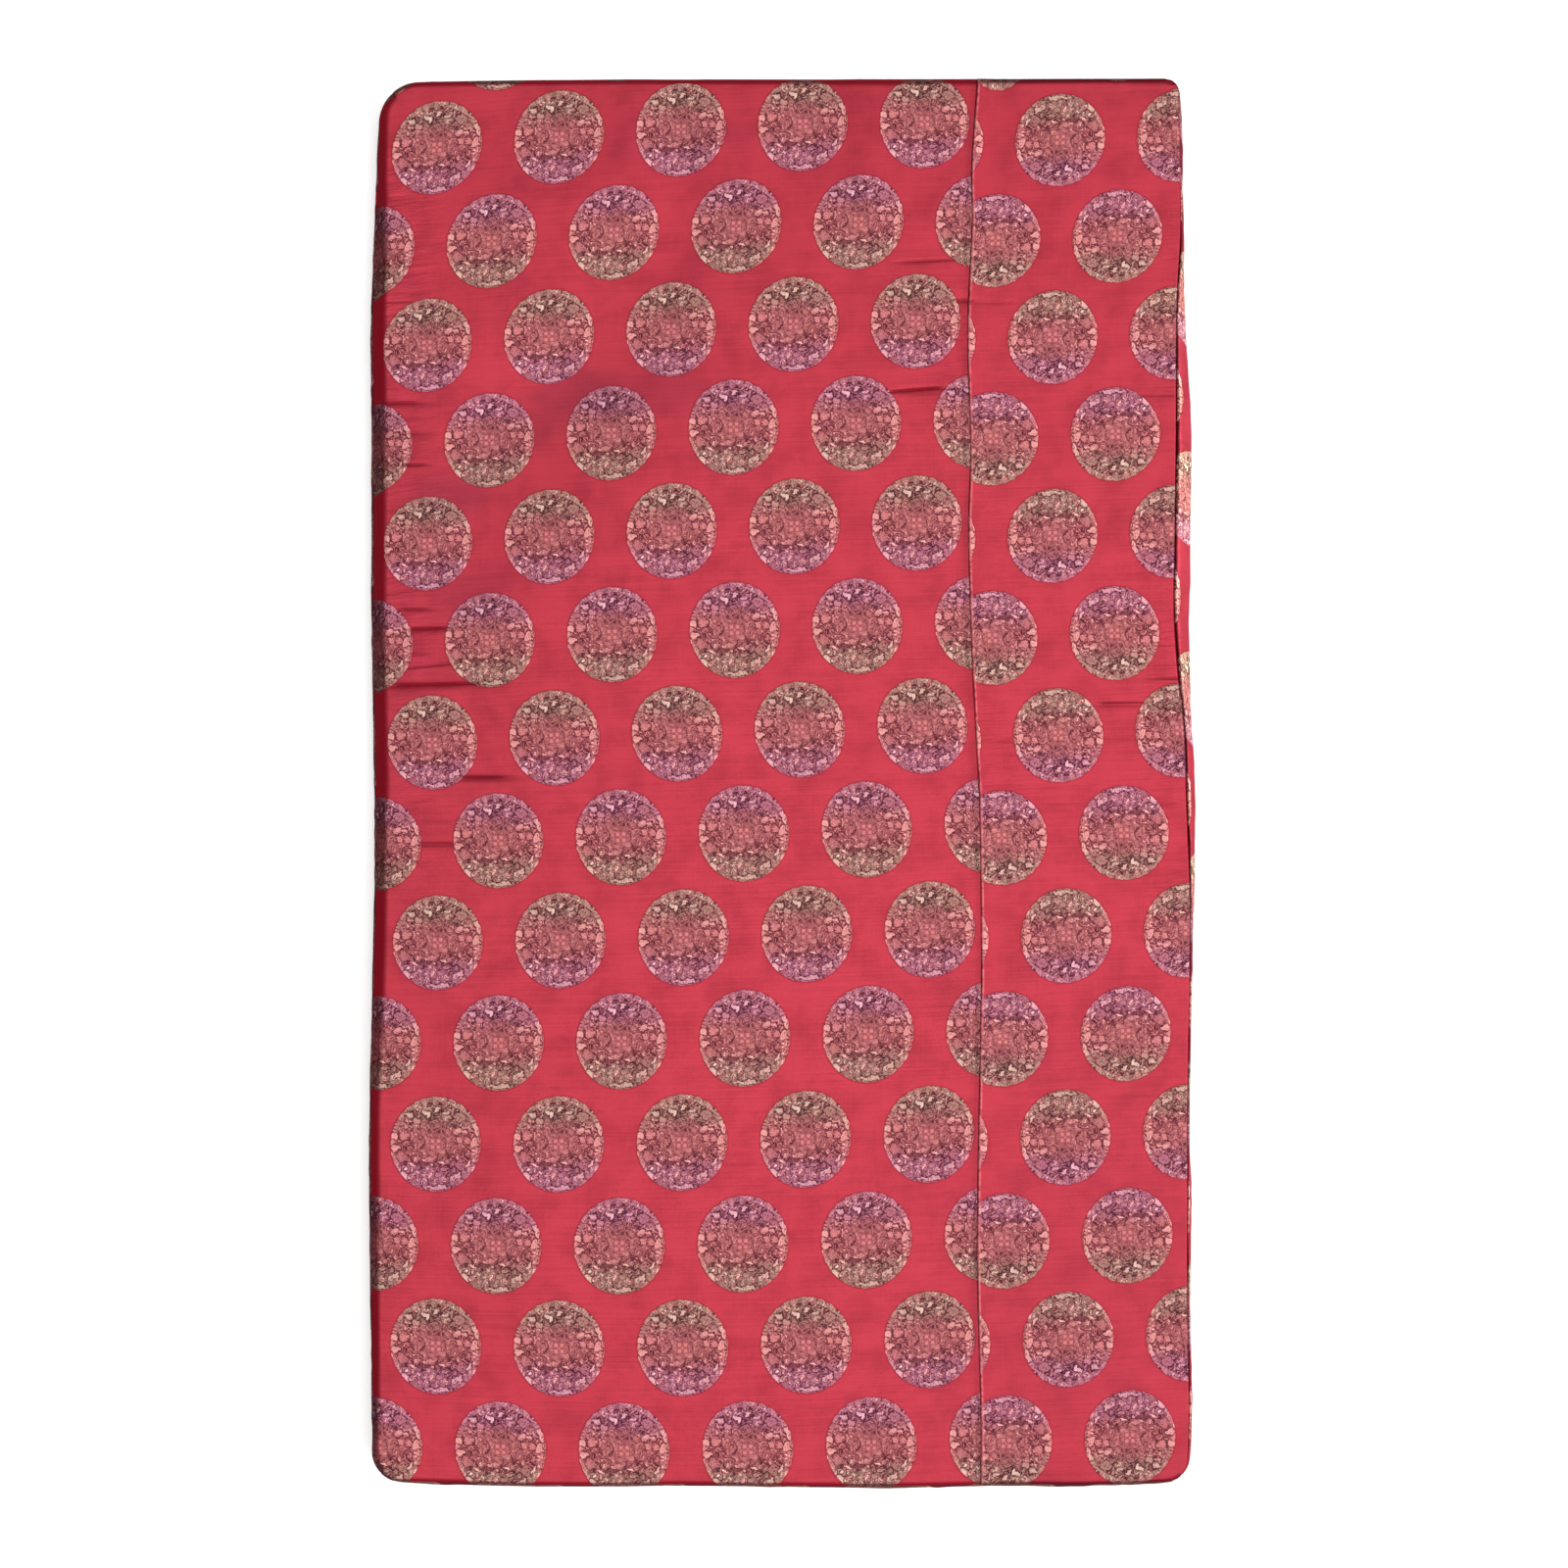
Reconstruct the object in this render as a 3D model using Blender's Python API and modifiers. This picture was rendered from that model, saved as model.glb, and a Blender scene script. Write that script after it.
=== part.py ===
# Boxed bench cushion: a firm filled body in a satin cover of two face panels and four side bands.
# Metres. X runs across the width, Y along the length, and Z is up from the floor it lies on.
import math
from collections import namedtuple

import bmesh
import bpy
from mathutils import Vector

# Driving dimensions
LENGTH = 0.902
WIDTH = 0.531
FACE_HEIGHT = 0.050
CROWN = 0.006
LOWER_SEAM_HEIGHT = 0.0045
WIDE_PANEL_WIDTH = 0.379
NARROW_PANEL_WIDTH = 0.130

# Cloth and sewing
SHEET = 0.0012
GAP = 0.0003
SEAM_TRIM = 0.0004
CHANNEL_DEPTH = 0.0011
CHANNEL_WIDTH_WIDE_SIDE = 0.0060
CHANNEL_WIDTH_NARROW_SIDE = 0.0014
FOLD_HEIGHT = 0.0009
FOLD_PLACE = 0.0026
FOLD_WIDTH = 0.0050

# How the crown falls off towards the sides and the ends
CROWN_POWER_ACROSS = 2.4
CROWN_POWER_ALONG = 4.0
ROLL_BLEND = 3.0

# One row for each station along a side: how far out from the cushion's middle the upper seam runs,
# the band stands at its fullest and the lower seam runs, and the radius the face rolls over with.
SideRow = namedtuple("SideRow", "along seam fullest lower roll")

LEFT_SIDE = (
    SideRow(along=-0.450, seam=0.2550, fullest=0.2595, lower=0.2555, roll=0.0055),
    SideRow(along=-0.390, seam=0.2562, fullest=0.2612, lower=0.2570, roll=0.0060),
    SideRow(along=-0.270, seam=0.2576, fullest=0.2630, lower=0.2580, roll=0.0060),
    SideRow(along=-0.208, seam=0.2578, fullest=0.2633, lower=0.2582, roll=0.0065),
    SideRow(along=-0.084, seam=0.2563, fullest=0.2615, lower=0.2575, roll=0.0085),
    SideRow(along=-0.022, seam=0.2565, fullest=0.2617, lower=0.2575, roll=0.0100),
    SideRow(along=0.102, seam=0.2587, fullest=0.2642, lower=0.2588, roll=0.0110),
    SideRow(along=0.227, seam=0.2593, fullest=0.2649, lower=0.2590, roll=0.0110),
    SideRow(along=0.289, seam=0.2600, fullest=0.2655, lower=0.2590, roll=0.0105),
    SideRow(along=0.352, seam=0.2583, fullest=0.2636, lower=0.2580, roll=0.0100),
    SideRow(along=0.450, seam=0.2550, fullest=0.2595, lower=0.2555, roll=0.0090),
)

RIGHT_SIDE = (
    SideRow(along=-0.450, seam=0.2550, fullest=0.2590, lower=0.2550, roll=0.0035),
    SideRow(along=-0.400, seam=0.2570, fullest=0.2608, lower=0.2565, roll=0.0035),
    SideRow(along=-0.335, seam=0.2563, fullest=0.2602, lower=0.2563, roll=0.0035),
    SideRow(along=-0.270, seam=0.2565, fullest=0.2612, lower=0.2568, roll=0.0035),
    SideRow(along=-0.210, seam=0.2569, fullest=0.2606, lower=0.2568, roll=0.0035),
    SideRow(along=-0.085, seam=0.2592, fullest=0.2644, lower=0.2590, roll=0.0035),
    SideRow(along=-0.020, seam=0.2574, fullest=0.2655, lower=0.2590, roll=0.0035),
    SideRow(along=0.030, seam=0.2558, fullest=0.2637, lower=0.2580, roll=0.0035),
    SideRow(along=0.060, seam=0.2527, fullest=0.2628, lower=0.2570, roll=0.0035),
    SideRow(along=0.105, seam=0.2498, fullest=0.2622, lower=0.2565, roll=0.0035),
    SideRow(along=0.160, seam=0.2506, fullest=0.2638, lower=0.2572, roll=0.0035),
    SideRow(along=0.225, seam=0.2518, fullest=0.2647, lower=0.2575, roll=0.0035),
    SideRow(along=0.300, seam=0.2524, fullest=0.2614, lower=0.2562, roll=0.0035),
    SideRow(along=0.350, seam=0.2552, fullest=0.2602, lower=0.2562, roll=0.0035),
    SideRow(along=0.450, seam=0.2545, fullest=0.2580, lower=0.2550, roll=0.0035),
)

HEAD_SIDE = (
    SideRow(along=-0.262, seam=0.4450, fullest=0.4488, lower=0.4450, roll=0.0045),
    SideRow(along=-0.200, seam=0.4466, fullest=0.4500, lower=0.4462, roll=0.0045),
    SideRow(along=-0.100, seam=0.4476, fullest=0.4508, lower=0.4468, roll=0.0045),
    SideRow(along=0.060, seam=0.4478, fullest=0.4509, lower=0.4468, roll=0.0045),
    SideRow(along=0.180, seam=0.4482, fullest=0.4510, lower=0.4468, roll=0.0045),
    SideRow(along=0.262, seam=0.4475, fullest=0.4505, lower=0.4462, roll=0.0045),
)

FOOT_SIDE = (
    SideRow(along=-0.262, seam=0.4415, fullest=0.4470, lower=0.4430, roll=0.0032),
    SideRow(along=-0.210, seam=0.4430, fullest=0.4490, lower=0.4442, roll=0.0032),
    SideRow(along=-0.140, seam=0.4445, fullest=0.4502, lower=0.4450, roll=0.0032),
    SideRow(along=-0.060, seam=0.4440, fullest=0.4498, lower=0.4450, roll=0.0032),
    SideRow(along=0.060, seam=0.4452, fullest=0.4510, lower=0.4455, roll=0.0032),
    SideRow(along=0.140, seam=0.4440, fullest=0.4498, lower=0.4450, roll=0.0032),
    SideRow(along=0.190, seam=0.4442, fullest=0.4500, lower=0.4450, roll=0.0032),
    SideRow(along=0.262, seam=0.4420, fullest=0.4470, lower=0.4430, roll=0.0032),
)

# The lengthwise seam wanders a few millimetres from side to side.
SeamRow = namedtuple("SeamRow", "along across")
LONG_SEAM = (
    SeamRow(along=-0.450, across=0.1250),
    SeamRow(along=-0.410, across=0.1253),
    SeamRow(along=-0.300, across=0.1230),
    SeamRow(along=-0.164, across=0.1252),
    SeamRow(along=-0.115, across=0.1260),
    SeamRow(along=-0.016, across=0.1250),
    SeamRow(along=0.020, across=0.1232),
    SeamRow(along=0.083, across=0.1202),
    SeamRow(along=0.158, across=0.1185),
    SeamRow(along=0.208, across=0.1199),
    SeamRow(along=0.283, across=0.1182),
    SeamRow(along=0.358, across=0.1215),
    SeamRow(along=0.383, across=0.1209),
    SeamRow(along=0.450, across=0.1254),
)

# Corner radii in plan. The corner at the left of the head is the softest.
Corner = namedtuple("Corner", "across along radius")
CORNERS = (
    Corner(across=-1, along=1, radius=0.024),
    Corner(across=1, along=1, radius=0.009),
    Corner(across=-1, along=-1, radius=0.016),
    Corner(across=1, along=-1, radius=0.013),
)

# The main creases: short troughs across the length, drawn in by the seams.
Crease = namedtuple("Crease", "along start end depth half_width")
CREASES = (
    Crease(along=0.2390, start=-0.256, end=-0.222, depth=0.0022, half_width=0.0052),
    Crease(along=0.2197, start=-0.256, end=-0.230, depth=0.0016, half_width=0.0052),
    Crease(along=0.0950, start=-0.240, end=-0.211, depth=0.0019, half_width=0.0055),
    Crease(along=0.0595, start=-0.248, end=-0.188, depth=0.0023, half_width=0.0055),
    Crease(along=0.0005, start=-0.206, end=-0.176, depth=0.0021, half_width=0.0055),
    Crease(along=-0.0416, start=-0.234, end=-0.204, depth=0.0015, half_width=0.0055),
    Crease(along=0.3036, start=0.098, end=0.119, depth=0.0014, half_width=0.0055),
    Crease(along=0.2470, start=0.084, end=0.114, depth=0.0017, half_width=0.0052),
    Crease(along=0.0471, start=0.200, end=0.236, depth=0.0019, half_width=0.0055),
    Crease(along=-0.0144, start=0.214, end=0.248, depth=0.0012, half_width=0.0055),
)
CREASE_EASE = 0.012

# Soft hollows and swells of the face, each an oval patch turned from the X axis.
Patch = namedtuple("Patch", "across along half_length half_width turn depth")
PATCHES = (
    Patch(across=-0.140, along=0.240, half_length=0.150, half_width=0.042, turn=56.0, depth=0.0026),
    Patch(across=-0.205, along=0.020, half_length=0.070, half_width=0.035, turn=70.0, depth=0.0012),
    Patch(across=-0.066, along=0.395, half_length=0.060, half_width=0.012, turn=90.0, depth=0.0012),
    Patch(across=0.030, along=0.405, half_length=0.050, half_width=0.012, turn=90.0, depth=0.0009),
    Patch(across=-0.098, along=0.405, half_length=0.050, half_width=0.014, turn=90.0, depth=-0.0010),
    Patch(across=0.052, along=0.405, half_length=0.050, half_width=0.014, turn=90.0, depth=-0.0010),
    Patch(across=0.137, along=-0.105, half_length=0.060, half_width=0.008, turn=90.0, depth=0.0009),
    Patch(across=0.168, along=-0.180, half_length=0.018, half_width=0.014, turn=0.0, depth=0.0010),
)

# Lines that the surface is divided on: in from the left seam, in from the lengthwise seam, in from
# the head and the foot, and the widest step left between the rows.
WIDE_PANEL_LINES = (0.0, 0.0025, 0.0075, 0.016, 0.028, 0.042, 0.058, 0.075, 0.096, 0.140, 0.195,
                    0.255, 0.310, 0.345, 0.364, 0.374, WIDE_PANEL_WIDTH)
NARROW_PANEL_LINES = (0.0, 0.0025, 0.0065, 0.016, 0.036, 0.065, 0.092, 0.112, 0.1265, 0.129,
                      NARROW_PANEL_WIDTH)
END_LINES = (0.0, 0.0012, 0.0042, 0.013, 0.032)
WIDEST_ROW = 0.045
NARROWEST_ROW = 0.0035
NOMINAL_HALF_LENGTH = 0.446

# Band profile, as shares of the way down from the upper seam to the lower one
BAND_LINES = (0.14, 0.50, 0.86, 1.0)

# The back's edge, below the lower seam: steps out from that seam, and heights
BackRow = namedtuple("BackRow", "step_out height")
BACK_EDGE = (
    BackRow(step_out=0.0004, height=0.0034),
    BackRow(step_out=-0.0012, height=0.0009),
    BackRow(step_out=-0.0045, height=0.0),
)

# The back closes in rings, each a share of the way in to a line along its middle. It rests on its
# outline and on that line, and is a fraction of a millimetre hollow in between.
BackRing = namedtuple("BackRing", "share height")
BACK_RINGS = (
    BackRing(share=0.14, height=0.00012),
    BackRing(share=0.40, height=0.00020),
    BackRing(share=0.70, height=0.00010),
    BackRing(share=1.00, height=0.0),
)
BACK_LINE_HALF_LENGTH = 0.190
WELD = 1e-6

SEAM_COLUMN = len(WIDE_PANEL_LINES) - 1
LAST_COLUMN = SEAM_COLUMN + len(NARROW_PANEL_LINES) - 1
LOWER_SEAM_LEVEL = len(BAND_LINES)

# Satin of the cover, linear colours
FACE_RED = (0.62, 0.030, 0.045)
BAND_RED = (0.50, 0.022, 0.035)
BACK_RED = (0.42, 0.020, 0.030)
SATIN_ROUGHNESS = 0.42


def clear_scene():
    for item in list(bpy.data.objects):
        bpy.data.objects.remove(item, do_unlink=True)


def satin(name, colour):
    material = bpy.data.materials.new(name)
    material.use_nodes = True
    shader = material.node_tree.nodes["Principled BSDF"]
    shader.inputs["Base Color"].default_value = (*colour, 1.0)
    shader.inputs["Roughness"].default_value = SATIN_ROUGHNESS
    shader.inputs["Metallic"].default_value = 0.0
    return material


def read_table(rows, column, place):
    # A smooth curve through one column of a table.
    place = min(max(place, rows[0].along), rows[-1].along)
    upper = next(index for index in range(1, len(rows)) if place <= rows[index].along)
    before = rows[max(upper - 2, 0)]
    start = rows[upper - 1]
    end = rows[upper]
    after = rows[min(upper + 1, len(rows) - 1)]
    first = getattr(start, column)
    last = getattr(end, column)
    leaving = (last - getattr(before, column)) / (end.along - before.along)
    arriving = (getattr(after, column) - first) / (after.along - start.along)
    span = end.along - start.along
    share = (place - start.along) / span
    turn_in = share * (1.0 - share) ** 2 * leaving * span
    turn_out = share ** 2 * (share - 1.0) * arriving * span
    ease = share * share * (3.0 - 2.0 * share)
    return first + (last - first) * ease + turn_in + turn_out


def ease_in(value, start, width):
    share = min(max((value - start) / width, 0.0), 1.0)
    return share * share * (3.0 - 2.0 * share)


def row_places():
    # Rows along Y: close at both ends and at each crease, and evenly spread in between.
    half = NOMINAL_HALF_LENGTH
    wanted = {}
    for line in END_LINES:
        wanted[round(line - half, 5)] = 0
        wanted[round(half - line, 5)] = 0
    for crease in CREASES:
        wanted[crease.along] = 0
        wanted[round(crease.along - crease.half_width, 5)] = 1
        wanted[round(crease.along + crease.half_width, 5)] = 1
    places = []
    for place in sorted(wanted, key=lambda value: (wanted[value], value)):
        room = min((abs(place - other) for other in places), default=half)
        if wanted[place] == 0 or room > NARROWEST_ROW:
            places.append(place)
    places.sort()
    filled = [places[0]]
    for place in places[1:]:
        step = place - filled[-1]
        parts = max(math.ceil(step / WIDEST_ROW), 1)
        start = filled[-1]
        filled.extend(start + step * number / parts for number in range(1, parts + 1))
    return filled


ROWS = row_places()
LAST_ROW = len(ROWS) - 1


def edges_at(across, along):
    # Where the four upper seams and the lengthwise seam run, level with a point of the face.
    return {
        "left": -read_table(LEFT_SIDE, "seam", along),
        "right": read_table(RIGHT_SIDE, "seam", along),
        "foot": -read_table(FOOT_SIDE, "seam", across),
        "head": read_table(HEAD_SIDE, "seam", across),
        "middle": read_table(LONG_SEAM, "across", along),
    }


def plan_point(column, row):
    nominal = ROWS[row]
    left = -read_table(LEFT_SIDE, "seam", nominal)
    right = read_table(RIGHT_SIDE, "seam", nominal)
    middle = read_table(LONG_SEAM, "across", nominal)
    if column <= SEAM_COLUMN:
        share = WIDE_PANEL_LINES[column] / WIDE_PANEL_WIDTH
        across = left + share * (middle - left)
    else:
        share = NARROW_PANEL_LINES[column - SEAM_COLUMN] / NARROW_PANEL_WIDTH
        across = middle + share * (right - middle)
    foot = -read_table(FOOT_SIDE, "seam", across)
    head = read_table(HEAD_SIDE, "seam", across)
    share = (nominal + NOMINAL_HALF_LENGTH) / (2.0 * NOMINAL_HALF_LENGTH)
    return across, foot + share * (head - foot)


def roll_drop(distance, radius):
    # How far a quarter round has fallen at a distance in from its outer edge.
    inward = max(radius - distance, 0.0)
    return radius - math.sqrt(max(radius * radius - inward * inward, 0.0))


def edge_drop(across, along, edges):
    drops = (
        roll_drop(across - edges["left"], read_table(LEFT_SIDE, "roll", along)),
        roll_drop(edges["right"] - across, read_table(RIGHT_SIDE, "roll", along)),
        roll_drop(along - edges["foot"], read_table(FOOT_SIDE, "roll", across)),
        roll_drop(edges["head"] - along, read_table(HEAD_SIDE, "roll", across)),
    )
    return sum(drop ** ROLL_BLEND for drop in drops) ** (1.0 / ROLL_BLEND)


def crown_rise(across, along):
    sideways = min(abs(across) / (WIDTH / 2.0), 1.0)
    lengthways = min(abs(along) / (LENGTH / 2.0), 1.0)
    return CROWN * (1.0 - sideways ** CROWN_POWER_ACROSS) * (1.0 - lengthways ** CROWN_POWER_ALONG)


def seam_shape(across, middle):
    # The wide panel dips into the sewn channel and the narrow panel's fold stands up beside it.
    offset = across - middle
    width = CHANNEL_WIDTH_WIDE_SIDE if offset <= 0.0 else CHANNEL_WIDTH_NARROW_SIDE
    channel = CHANNEL_DEPTH * math.exp(-(offset / width) ** 2)
    fold = FOLD_HEIGHT * math.exp(-((offset - FOLD_PLACE) / FOLD_WIDTH) ** 2) if offset > 0.0 else 0.0
    return fold - channel


def crease_drop(across, along):
    total = 0.0
    for crease in CREASES:
        offset = 2.0 * (along - crease.along) / crease.half_width
        fade = ease_in(across, crease.start - CREASE_EASE, CREASE_EASE)
        fade *= 1.0 - ease_in(across, crease.end, CREASE_EASE)
        total += crease.depth * fade * math.exp(-offset * offset)
    return total


def patch_drop(across, along):
    total = 0.0
    for patch in PATCHES:
        turn = math.radians(patch.turn)
        sideways = across - patch.across
        lengthways = along - patch.along
        main = (sideways * math.cos(turn) + lengthways * math.sin(turn)) / patch.half_length
        cross = (lengthways * math.cos(turn) - sideways * math.sin(turn)) / patch.half_width
        total += patch.depth * math.exp(-main * main - cross * cross)
    return total


def round_corner(across, along, edges):
    # Points inside a corner's square are drawn in until the square's outline is a quarter circle.
    for corner in CORNERS:
        side = edges["right"] if corner.across > 0 else edges["left"]
        end = edges["head"] if corner.along > 0 else edges["foot"]
        outward = corner.radius - abs(side - across)
        onward = corner.radius - abs(end - along)
        if outward > 0.0 and onward > 0.0:
            scale = max(outward, onward) / math.hypot(outward, onward)
            across += corner.across * outward * (scale - 1.0)
            along += corner.along * onward * (scale - 1.0)
    return across, along


def face_point(column, row):
    across, along = plan_point(column, row)
    edges = edges_at(across, along)
    height = FACE_HEIGHT + crown_rise(across, along) - edge_drop(across, along, edges)
    height += seam_shape(across, edges["middle"])
    height -= crease_drop(across, along) + patch_drop(across, along)
    across, along = round_corner(across, along, edges)
    return Vector((across, along, height))


def perimeter():
    # Grid places around the face's edge, counter-clockwise from the left end of the foot.
    foot = [(column, 0) for column in range(LAST_COLUMN)]
    right = [(LAST_COLUMN, row) for row in range(LAST_ROW)]
    head = [(column, LAST_ROW) for column in range(LAST_COLUMN, 0, -1)]
    left = [(0, row) for row in range(LAST_ROW, 0, -1)]
    return foot + right + head + left


def band_sizes(column, row, point):
    # How far the band stands out from its upper seam, and where its lower seam lies from it.
    tables = []
    if column == 0:
        tables.append((LEFT_SIDE, point.y))
    if column == LAST_COLUMN:
        tables.append((RIGHT_SIDE, point.y))
    if row == 0:
        tables.append((FOOT_SIDE, point.x))
    if row == LAST_ROW:
        tables.append((HEAD_SIDE, point.x))
    outs = [read_table(rows, "fullest", place) - read_table(rows, "seam", place) for rows, place in tables]
    leans = [read_table(rows, "lower", place) - read_table(rows, "seam", place) for rows, place in tables]
    return sum(outs) / len(outs), sum(leans) / len(leans)


def mark_grid(shape):
    # Every vertex keeps its column, row and level, and the edge keeps what its band needs.
    marks = {name: shape.verts.layers.int.new(name) for name in ("column", "row", "level")}
    marks["seam"] = shape.verts.layers.float_vector.new("seam")
    marks["outward"] = shape.verts.layers.float_vector.new("outward")
    marks["out"] = shape.verts.layers.float.new("out")
    marks["lean"] = shape.verts.layers.float.new("lean")
    return marks


def cover_surface():
    # The outer surface of the whole cushion, as one closed mesh.
    shape = bmesh.new()
    marks = mark_grid(shape)
    bmesh.ops.create_grid(shape, x_segments=LAST_COLUMN, y_segments=LAST_ROW, size=1.0)
    grid = {}
    for vertex in shape.verts:
        column = round((vertex.co.x + 1.0) / 2.0 * LAST_COLUMN)
        row = round((vertex.co.y + 1.0) / 2.0 * LAST_ROW)
        vertex[marks["column"]] = column
        vertex[marks["row"]] = row
        vertex.co = face_point(column, row)
        grid[column, row] = vertex

    around = perimeter()
    for number, place in enumerate(around):
        vertex = grid[place]
        tangent = grid[around[(number + 1) % len(around)]].co - grid[around[number - 1]].co
        vertex[marks["seam"]] = vertex.co
        vertex[marks["outward"]] = Vector((tangent.y, -tangent.x, 0.0)).normalized()
        out, lean = band_sizes(*place, vertex.co)
        vertex[marks["out"]] = out
        vertex[marks["lean"]] = lean

    rim = [edge for edge in shape.edges if edge.is_boundary]
    levels = [("band", share) for share in BAND_LINES]
    levels += [("edge", row) for row in BACK_EDGE]
    levels += [("ring", ring) for ring in BACK_RINGS]
    for number, (kind, value) in enumerate(levels, start=1):
        made = bmesh.ops.extrude_edge_only(shape, edges=rim)["geom"]
        rim = [item for item in made if isinstance(item, bmesh.types.BMEdge) and item.is_boundary]
        for vertex in (item for item in made if isinstance(item, bmesh.types.BMVert)):
            vertex[marks["level"]] = number
            place_side_vertex(vertex, marks, kind, value)
    bmesh.ops.remove_doubles(shape, verts=shape.verts, dist=WELD)
    bmesh.ops.recalc_face_normals(shape, faces=shape.faces)
    shape.normal_update()
    return shape


def place_side_vertex(vertex, marks, kind, value):
    seam = vertex[marks["seam"]]
    outward = vertex[marks["outward"]]
    lean = vertex[marks["lean"]]
    if kind == "band":
        bulge = vertex[marks["out"]] - lean / 2.0
        distance = lean * value + bulge * math.sin(math.pi * value)
        vertex.co = seam + outward * distance
        vertex.co.z = seam.z + (LOWER_SEAM_HEIGHT - seam.z) * value
    elif kind == "edge":
        vertex.co = seam + outward * (lean + value.step_out)
        vertex.co.z = value.height
    else:
        place = ROWS[vertex[marks["row"]]]
        place = min(max(place, -BACK_LINE_HALF_LENGTH), BACK_LINE_HALF_LENGTH)
        start = seam + outward * (lean + BACK_EDGE[-1].step_out)
        vertex.co = start.lerp(Vector((0.0, place, 0.0)), value.share)
        vertex.co.z = value.height


def region_of(face, layers):
    # Which panel a face of the cover surface belongs to.
    columns = [vertex[layers["column"]] for vertex in face.verts]
    rows = [vertex[layers["row"]] for vertex in face.verts]
    levels = [vertex[layers["level"]] for vertex in face.verts]
    if max(levels) > LOWER_SEAM_LEVEL:
        return "back"
    if max(levels) == 0:
        return "face_wide" if max(columns) <= SEAM_COLUMN else "face_narrow"
    if max(columns) == 0:
        return "band_left"
    if min(columns) == LAST_COLUMN:
        return "band_right"
    return "band_foot" if max(rows) == 0 else "band_head"


def grid_layers(shape):
    return {name: shape.verts.layers.int[name] for name in ("column", "row", "level")}


def place_object(name, shape, material, collection):
    mesh = bpy.data.meshes.new(name)
    shape.to_mesh(mesh)
    shape.free()
    mesh.shade_smooth()
    mesh.set_sharp_from_angle(angle=math.radians(50.0))
    mesh.materials.append(material)
    item = bpy.data.objects.new(name, mesh)
    collection.objects.link(item)
    return item


def make_body(surface, collection):
    # The filled body lies just inside the cover, and its own surface is the plain back.
    shape = surface.copy()
    level = shape.verts.layers.int["level"]
    shape.normal_update()
    for vertex in shape.verts:
        if vertex[level] <= LOWER_SEAM_LEVEL:
            vertex.co -= vertex.normal * (SHEET + GAP)
    return place_object("cushion_body", shape, satin("Back satin", BACK_RED), collection)


def make_panel(name, surface, material, collection):
    # One cut piece of the cover, stopped just short of its seams.
    shape = surface.copy()
    layers = grid_layers(shape)
    others = [face for face in shape.faces if region_of(face, layers) != name]
    bmesh.ops.delete(shape, geom=others, context="FACES")
    trimmed = bmesh.ops.inset_region(
        shape, faces=shape.faces[:], thickness=SEAM_TRIM, use_boundary=True, use_even_offset=True)
    bmesh.ops.delete(shape, geom=trimmed["faces"], context="FACES")
    panel = place_object(name, shape, material, collection)
    cloth = panel.modifiers.new("Cloth thickness", "SOLIDIFY")
    cloth.thickness = SHEET
    cloth.offset = -1.0
    cloth.use_even_offset = False
    return panel


def main():
    clear_scene()
    collection = bpy.data.collections.new("Bench cushion")
    bpy.context.scene.collection.children.link(collection)
    surface = cover_surface()
    make_body(surface, collection)
    for name in ("face_wide", "face_narrow"):
        make_panel(name, surface, satin(name + " satin", FACE_RED), collection)
    for name in ("band_left", "band_right", "band_head", "band_foot"):
        make_panel(name, surface, satin(name + " satin", BAND_RED), collection)
    surface.free()


main()
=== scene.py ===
import math

import bmesh
import bpy
import numpy as np
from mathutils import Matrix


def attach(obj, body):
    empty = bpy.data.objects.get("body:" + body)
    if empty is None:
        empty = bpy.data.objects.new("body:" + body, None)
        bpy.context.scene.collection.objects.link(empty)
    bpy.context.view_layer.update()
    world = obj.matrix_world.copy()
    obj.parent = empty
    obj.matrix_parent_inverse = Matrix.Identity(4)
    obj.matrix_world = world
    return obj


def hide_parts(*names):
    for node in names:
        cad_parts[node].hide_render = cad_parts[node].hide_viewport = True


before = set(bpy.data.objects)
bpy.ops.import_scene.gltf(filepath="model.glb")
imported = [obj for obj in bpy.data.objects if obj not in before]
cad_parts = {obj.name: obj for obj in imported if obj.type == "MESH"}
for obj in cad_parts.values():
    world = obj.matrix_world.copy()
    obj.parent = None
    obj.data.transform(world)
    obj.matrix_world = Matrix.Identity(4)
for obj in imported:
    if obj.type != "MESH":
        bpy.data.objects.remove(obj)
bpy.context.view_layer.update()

# Metres. X runs across the width, Y along the length to the head, and Z is up from the floor.

cushion = {
    "length": 0.902,
    "width": 0.531,
    "faceHeight": 0.050,
    "crown": 0.006,
    "crownPowerAcross": 2.4,
    "crownPowerAlong": 4.0,
    "halfLength": 0.446,   # nominal, of the face alone
    "halfWidth": 0.257,
    "lowerSeam": 0.0045,
    "cloth": 0.0012,       # satin with its lining
    "seamTrim": 0.0004,    # how far each panel stops short of its seam
    "rollBlend": 5.0,
    "shoulder": 1.22,      # how softly the face turns into the strip along its edge, 1 is sharp
}

# Each side: how far out from the middle the upper seam runs, the band stands at its fullest and the
# lower seam runs, and the radius the face rolls over with.
sideColumns = ("along", "seam", "fullest", "lower", "roll")
leftSide = [
    (-0.450, 0.2550, 0.2595, 0.2555, 0.0055),
    (-0.390, 0.2562, 0.2612, 0.2570, 0.0060),
    (-0.270, 0.2576, 0.2630, 0.2580, 0.0060),
    (-0.208, 0.2578, 0.2633, 0.2582, 0.0065),
    (-0.084, 0.2563, 0.2615, 0.2575, 0.0085),
    (-0.022, 0.2565, 0.2617, 0.2575, 0.0100),
    (0.102, 0.2587, 0.2642, 0.2588, 0.0110),
    (0.227, 0.2593, 0.2649, 0.2590, 0.0110),
    (0.289, 0.2600, 0.2655, 0.2590, 0.0105),
    (0.352, 0.2583, 0.2636, 0.2580, 0.0100),
    (0.450, 0.2550, 0.2595, 0.2555, 0.0090),
]
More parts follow.
